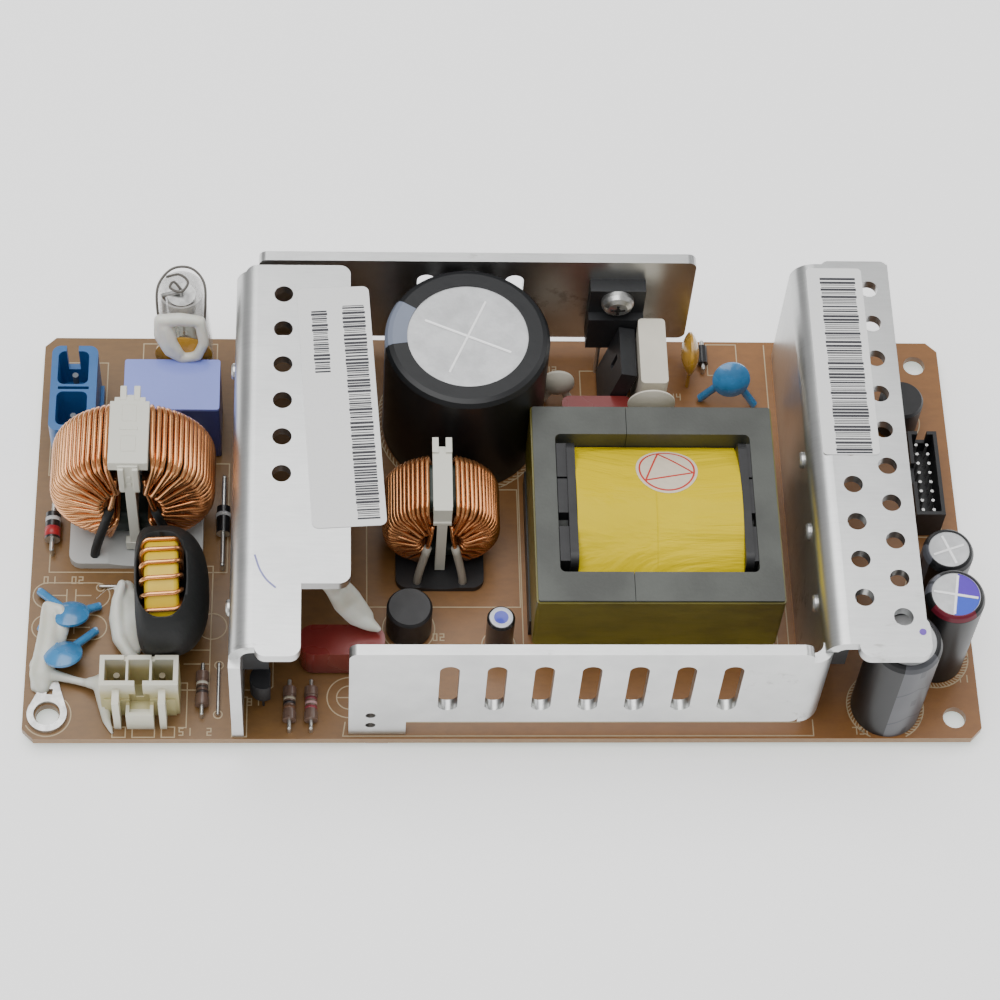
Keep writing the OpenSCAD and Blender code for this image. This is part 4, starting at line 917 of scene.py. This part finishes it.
def flat_label(corner, turned_by, length, height, radius, low, high):
    """Paper label with rounded corners, running on from its corner; millimetres."""
    outline = []
    for u, v, start in ((length - radius, height - radius, 0), (radius, height - radius, 90),
                        (radius, radius, 180), (length - radius, radius, 270)):
        outline += arc(u, v, radius, start, start + 90, 8)
    outline = from_corner(corner, turned_by, outline)
    count = len(outline)
    points = [(x * MM, y * MM, z * MM) for z in (low, high) for x, y in outline]
    faces = [tuple(range(count, 2 * count)), tuple(reversed(range(count)))]
    faces += stitch(0, count, count)
    return mesh_of("label", points, faces)


def flat_disc(centre, radius, lift):
    """Flat disc in rings, fine enough to be bent later; millimetres."""
    rings, around = 8, 48
    points, faces = [tuple(centre)], []
    for ring in range(1, rings + 1):
        points += arc(*centre, radius * ring / rings, 0, 360 - 360 / around, around - 1)
    faces += [(0, 1 + k, 1 + (k + 1) % around) for k in range(around)]
    for low in range(1, around * (rings - 1), around):
        faces += stitch(low, low + around, around, inside_out=True)
    return mesh_of("disc", [(x * MM, y * MM, lift * MM) for x, y in points], faces)


# the cans' lids, scored as a safety vent, with a painted highlight along the score lines
stained = ((70, 92, 200), (96, 66, 184))
for (can, centre), (radius, turned, reach, tint) in zip(CANS.items(), (
        (10.8, -24, 8.4, None), (3.55, 20, 3, None), (4.2, -10, 3.9, stained), (4.9, 30, 4.4, None))):
    lid_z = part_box(f"{can}_can")[1][2] / MM + 0.015
    show(f"{can}_lid", flat_disc(centre, radius, lid_z), "can_aluminium",
         look=material(f"{can} lid", can_top(centre, turned, reach, tint)), smooth=False)

paper = SHEET_TOP + 0.12
show("left_label", flat_label((LEFT_WALL + 10.9, BACK - 9.3), -86.45, 50, 12.9, 1.2, SHEET_TOP, paper),
     "label_paper", "paper_labels", smooth=False)
show("right_label", flat_label((RIGHT_WALL + 2.4, BACK - 3.8), -90, 40, 10.1, 0.8, SHEET_TOP, paper),
     "label_paper", smooth=False)
bars = (barcode((-25.4, 29.6), -86.45, 44.6, -3.6, 3) + barcode((-32.1, 28.3), -86.45, 13.5, -2.4, 7)
        + barcode((64, 36.3), -90, 37.3, -6, 11))
for index, wide in enumerate((0.17, 0.34, 0.5)):
    chosen = [line for width, line in bars if width == wide]
    show(f"barcode_bars_{index}", printed(chosen, wide, paper - 0.01, paper + 0.015),
         "black_plastic", look=ink(f"bar ink {index}", (52, 52, 58)), smooth=False)


# ---------------- bands and glue
def bands(name, radius, slot, look, *places):
    """Painted bands round lying bodies: each place is a body's middle, then the band's two ends along Y."""
    paths = [[Vector((x, y + low, z)) * MM, Vector((x, y + high, z)) * MM] for x, y, z, low, high in places]
    show(name, sweep(paths, radius * MM, 24), slot, look=look)


band_tones = (((60, 50, 48), (70, 58, 50), (196, 190, 176)),
              ((120, 84, 60), (50, 44, 44), (170, 160, 140)),
              ((150, 60, 70), (190, 150, 150), (120, 50, 60)))
for i, (middle, tones) in enumerate(zip(RESISTORS, band_tones)):
    for k, (at, tone) in enumerate(zip((-0.85, 0.05, 0.9), tones)):
        bands(f"resistor_{i}_band_{k}", 1.09, "resistor_coating", ink(f"band paint {i} {k}", tone, 0.3),
              (*middle, top_mm + 1.45, at - 0.25, at + 0.25))
left_diode, fin_diode = (*DIODES[0], top_mm + 1.8), (*DIODES[1], top_mm + 1.65)
bands("diode_cathode_bands", 1.42, "device_plastic", ink("band white", (205, 205, 205)),
      (*left_diode, 0.9, 1.7), (*fin_diode, 0.6, 1.3))
bands("diode_red_band", 1.43, "device_plastic", ink("band red", (176, 44, 48), 0.3),
      (*left_diode, -2.2, -0.3))


def mass(name, groups, grain=0.28, settle=6):
    """Soft lumps of glue: each group is a run of (point, radius) in millimetres, blended together."""
    rings, around = 8, 12
    points, faces = [], []
    for run in groups:
        run = [(Vector(p), q) for p, q in run]
        for (a, ra), (b, rb) in zip(run, run[1:]):
            steps = max(2, int((b - a).length / 0.35))
            for k in range(steps + 1):
                centre, radius = a.lerp(b, k / steps), ra + (rb - ra) * k / steps
                start = len(points)
                for i in range(rings + 1):
                    wide, high = math.sin(math.pi * i / rings), math.cos(math.pi * i / rings)
                    points += [centre + radius * Vector((wide * c, wide * s, high))
                               for c, s in circle(around)]
                for i in range(rings):
                    low = start + i * around
                    faces += stitch(low, low + around, around, inside_out=True)
    lump = helper(name, mesh_of(name, [p * MM for p in points], faces))
    step = lump.modifiers.new("blend", "REMESH")
    step.mode = "VOXEL"
    step.voxel_size = grain * MM
    step = lump.modifiers.new("settle", "SMOOTH")
    step.factor = 0.6
    step.iterations = settle
    return worked(lump)


T = top_mm
disc_glue = [
    [((-81, -18.6, T + 3.6), 1.5), ((-80.6, -22, T + 2.8), 2.2), ((-81.2, -26, T + 1.8), 2.3),
     ((-82, -30, T + 1.2), 2.2), ((-81.8, -32.2, T + 0.6), 1.5)],
    [((-81.3, -18, T + 4.2), 1.0), ((-79, -18.8, T + 4.6), 0.9), ((-78, -20.8, T + 4), 1.1),
     ((-79.2, -23.6, T + 2.4), 1.5)],
    [((-82.6, -28, T + 0.6), 1.7), ((-82.9, -32.2, T + 0.4), 1.0)],
    [((-80.8, -30, T + 1.4), 1.1), ((-76, -31.4, T + 1.4), 0.75), ((-73.3, -32.2, T + 1.6), 0.8),
     ((-71.6, -31.6, T + 2.2), 1.0)],
    [((-73.4, -32.2, T + 2), 1.0), ((-71.4, -32.6, T + 2.6), 1.5), ((-70.8, -35.6, T + 2.2), 1.3),
     ((-70.2, -39, T + 0.9), 0.8), ((-69.2, -41.2, T + 0.3), 0.35)],
]
fuse_glue = [
    [((-62, 30.2, 27.4), 1.2), ((-62.1, 29, 24.4), 1.2), ((-60.6, 27.4, 21.6), 1.0),
     ((-58.2, 26.8, 20.2), 1.0), ((-55.4, 26.9, 20.9), 1.0), ((-54.2, 27.8, 23.6), 1.0),
     ((-54.8, 30, 27.4), 1.1), ((-58.4, 30, 28), 1.3), ((-62, 30.2, 27.4), 1.2)],
    [((-61, 29.6, 26), 1.5), ((-60, 28, 23.4), 1.2), ((-58.8, 27.2, 21.6), 1.0)],
]
fin_glue = [
    [((-66.4, -15, T + 3.2), 0.9), ((-66.2, -18.6, T + 2.6), 1.5), ((-66.2, -22, T + 2), 1.5),
     ((-65.6, -25, T + 1.2), 1.2)],
    [((-67.5, -13.4, T + 2.6), 1.5), ((-67.6, -17, T + 2.3), 2.2), ((-67.2, -21.4, T + 1.7), 2.2),
     ((-66, -25, T + 1), 1.5)],
    [((-68.2, -13.9, T + 5), 0.9), ((-69, -16.8, T + 4.2), 1.1), ((-69, -20, T + 3.2), 1.5),
     ((-68.4, -23.6, T + 2.4), 1.4), ((-66.6, -26.6, T + 2), 1.1), ((-64.9, -27.6, T + 1.4), 0.8)],
    [((-68.3, -14.4, T + 4.8), 0.35), ((-71, -14.7, T + 4.4), 0.22), ((-72.8, -16, T + 3.4), 0.22)],
]
strap_glue = [
    [((-31.6, -24.4, 28), 1.4), ((-30.6, -23.4, 24), 1.5), ((-28.8, -23, 18), 1.9),
     ((-26.6, -23.4, 14.4), 1.9), ((-24.2, -24.4, 13), 1.3), ((-22.6, -25.2, 12.6), 0.6)],
    [((-29.6, -22.6, 26), 1.1), ((-27.2, -22.2, 19), 1.5), ((-24.6, -23.2, 14), 1.2)],
]
show("glue_on_disc_capacitors", mass("disc glue", disc_glue), "silicone", "silicone_glue")
show("glue_on_standing_fuse", mass("fuse glue", fuse_glue), "silicone", "silicone_glue")
show("glue_by_filter_choke", mass("fin glue", fin_glue, 0.2, 26), "silicone")
show("glue_strap_to_film_capacitor", mass("strap glue", strap_glue), "silicone")


# ---------------- sticker and pen marks
def draped(mesh):
    """Lay a flat piece over the round top of the wound tape."""
    middle_y, bend, crest = -5.7, 20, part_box("transformer_winding")[1][2] / MM

    def place(p):
        fall = bend - math.sqrt(bend ** 2 - (p.y / MM - middle_y) ** 2)
        return Vector((p.x, p.y, p.z + (crest - fall) * MM))
    return moved(mesh, place)


sticker = (28.75, 0.8)
show("sticker_film", draped(flat_disc(sticker, 5.55, 0.07)), "label_paper",
     look=ink("sticker film", (228, 214, 192), 0.25))
triangle = [arc(sticker[0], sticker[1], 4.75, a, a, 1)[0] for a in (105, 214, 350, 105)]
fine = []
for a, b in zip(triangle, triangle[1:]):
    fine += [(a[0] + (b[0] - a[0]) * k / 16, a[1] + (b[1] - a[1]) * k / 16) for k in range(16)]
fine.append(fine[0])
show("sticker_marks", draped(printed([arc(*sticker, 4.9, steps=64), fine], 0.32, 0, 0.1)), "label_paper",
     look=ink("sticker red", (206, 60, 48), 0.35), smooth=False)
pen = curved([(-43.9, -22.2, 0), (-43.1, -24.8, 0), (-41.9, -26.9, 0), (-40.4, -28.4, 0)], 6)
show("pen_arc", printed([pen], 0.34, SHEET_TOP - 0.01, SHEET_TOP + 0.03), "label_paper",
     look=ink("pen blue", (150, 150, 205), 0.5), smooth=False)
spot = arc(69.6, -36.9, 0.32, steps=12)
show("ink_spot", printed([spot], 0.62, SHEET_TOP - 0.01, SHEET_TOP + 0.03), "label_paper",
     look=ink("ink violet", (118, 82, 190), 0.4), smooth=False)

# return wire of the standing fuse, looped over its top cap
loop = curved([(-61.9, 31.2, 22), (-62.6, 33, 27), (-62.4, 36.4, 29.6), (-60, 39.6, 30.2),
               (-56.6, 39.8, 30.2), (-54.2, 37, 29.8), (-53.9, 33.6, 27.2), (-54.4, 31.2, 22)], 6)
twist = curved([(-61, 38.4, 29.4), (-58.6, 38.2, 30.4), (-57, 36.4, 30.6), (-58.2, 34.4, 30.4),
                (-60.2, 35.4, 30.2), (-59.6, 37, 29.8), (-58.3, 36, 28.8)], 6)
show("standing_fuse_wire", sweep([[Vector(p) * MM for p in path] for path in (loop, twist)], 0.24 * MM),
     "tinned_metal", look=ink("fuse wire steel", (96, 92, 86), 0.35))


# ---------------- screw recesses, painted as shade
def recess(x, y, z, faces_front=False):
    """Two crossing dark bars flush with a screw's face, painted shade standing for its cross recess; the
    face looks along X or towards the front.
    """
    slots = []
    for flat, tall, under in ((1.35, 0.24, 0), (0.24, 1.35, 0.004)):
        if faces_front:
            slots.append(((x - flat, y + under, z - tall), (x + flat, y + 0.5, z + tall)))
        else:
            slots.append(((x - 0.5, y - flat, z - tall), (x - under, y + flat, z + tall)))
    return slots


# A head's face from its wall: the sheet, the device's tab and the head itself
head_out = 7.02
crosses = []
for wall_x, places in ((LEFT_WALL, (-28.6, 19.8)), (RIGHT_WALL, (-27.5, -13.2, 1.6))):
    for y in places:
        crosses += recess(wall_x + head_out, y, 26.5)
crosses += recess(21.5, 34.38, 25.3, faces_front=True)
# dark bars flush with each head: painted shade standing for the cross recesses
show("screw_recess_painted_shade", blocks(crosses, 0.03), "black_plastic", look=ink("recess shadow", (30, 30, 30), 0.6),
     smooth=False)

# ---------------- floor, light, camera
bpy.ops.mesh.primitive_plane_add(size=6, location=(0, 0, 0))
floor = bpy.context.object
floor.name = "floor"
pale = plastic("pale floor", (250, 250, 250), 0.9, 0.004)
glow = pale.node_tree.nodes["Principled BSDF"].inputs
glow["Emission Color"].default_value = (1, 1, 1, 1)
glow["Emission Strength"].default_value = 0.6
floor.data.materials.append(pale)

world = bpy.data.worlds.new("studio")
bpy.context.scene.world = world
world.use_nodes = True
sky = world.node_tree.nodes["Background"].inputs
sky["Color"].default_value = (1, 1, 1, 1)
sky["Strength"].default_value = 0.38


def area_light(name, place, aim, size, power):
    data = bpy.data.lights.new(name, "AREA")
    data.shape = "RECTANGLE"
    data.size, data.size_y = size
    data.energy = power
    lamp = bpy.data.objects.new(name, data)
    bpy.context.collection.objects.link(lamp)
    lamp.location = place
    lamp.rotation_euler = (Vector(aim) - Vector(place)).to_track_quat("-Z", "Y").to_euler()


area_light("overhead softbox", (-0.2, 0.05, 1.1), (0, 0, 0), (1.4, 1.0), 16)
area_light("right softbox", (0.9, 0.25, 0.7), (0, 0, 0.02), (0.7, 0.5), 2.4)
area_light("front fill", (-0.2, -1.0, 0.5), (0, 0, 0.02), (0.9, 0.5), 0.35)

# lens in millimetres, then bearing, dip and roll in degrees
camera_data = bpy.data.cameras.new("camera")
camera_data.sensor_width = 36
camera_data.lens = 107.68
camera = bpy.data.objects.new("camera", camera_data)
bpy.context.collection.objects.link(camera)
yaw, pitch, roll = (math.radians(a) for a in (6.203, 58.981, 5.515))
forward = Vector((math.sin(yaw) * math.cos(pitch), math.cos(yaw) * math.cos(pitch), -math.sin(pitch)))
level = Vector((math.cos(yaw), -math.sin(yaw), 0))
upward = level.cross(forward)
right = level * math.cos(roll) + upward * math.sin(roll)
up = upward * math.cos(roll) - level * math.sin(roll)
turn = Matrix((right, up, -forward)).transposed()
camera.matrix_world = Matrix.Translation((-0.03062, -0.27639, 0.47736)) @ turn.to_4x4()
bpy.context.scene.camera = camera
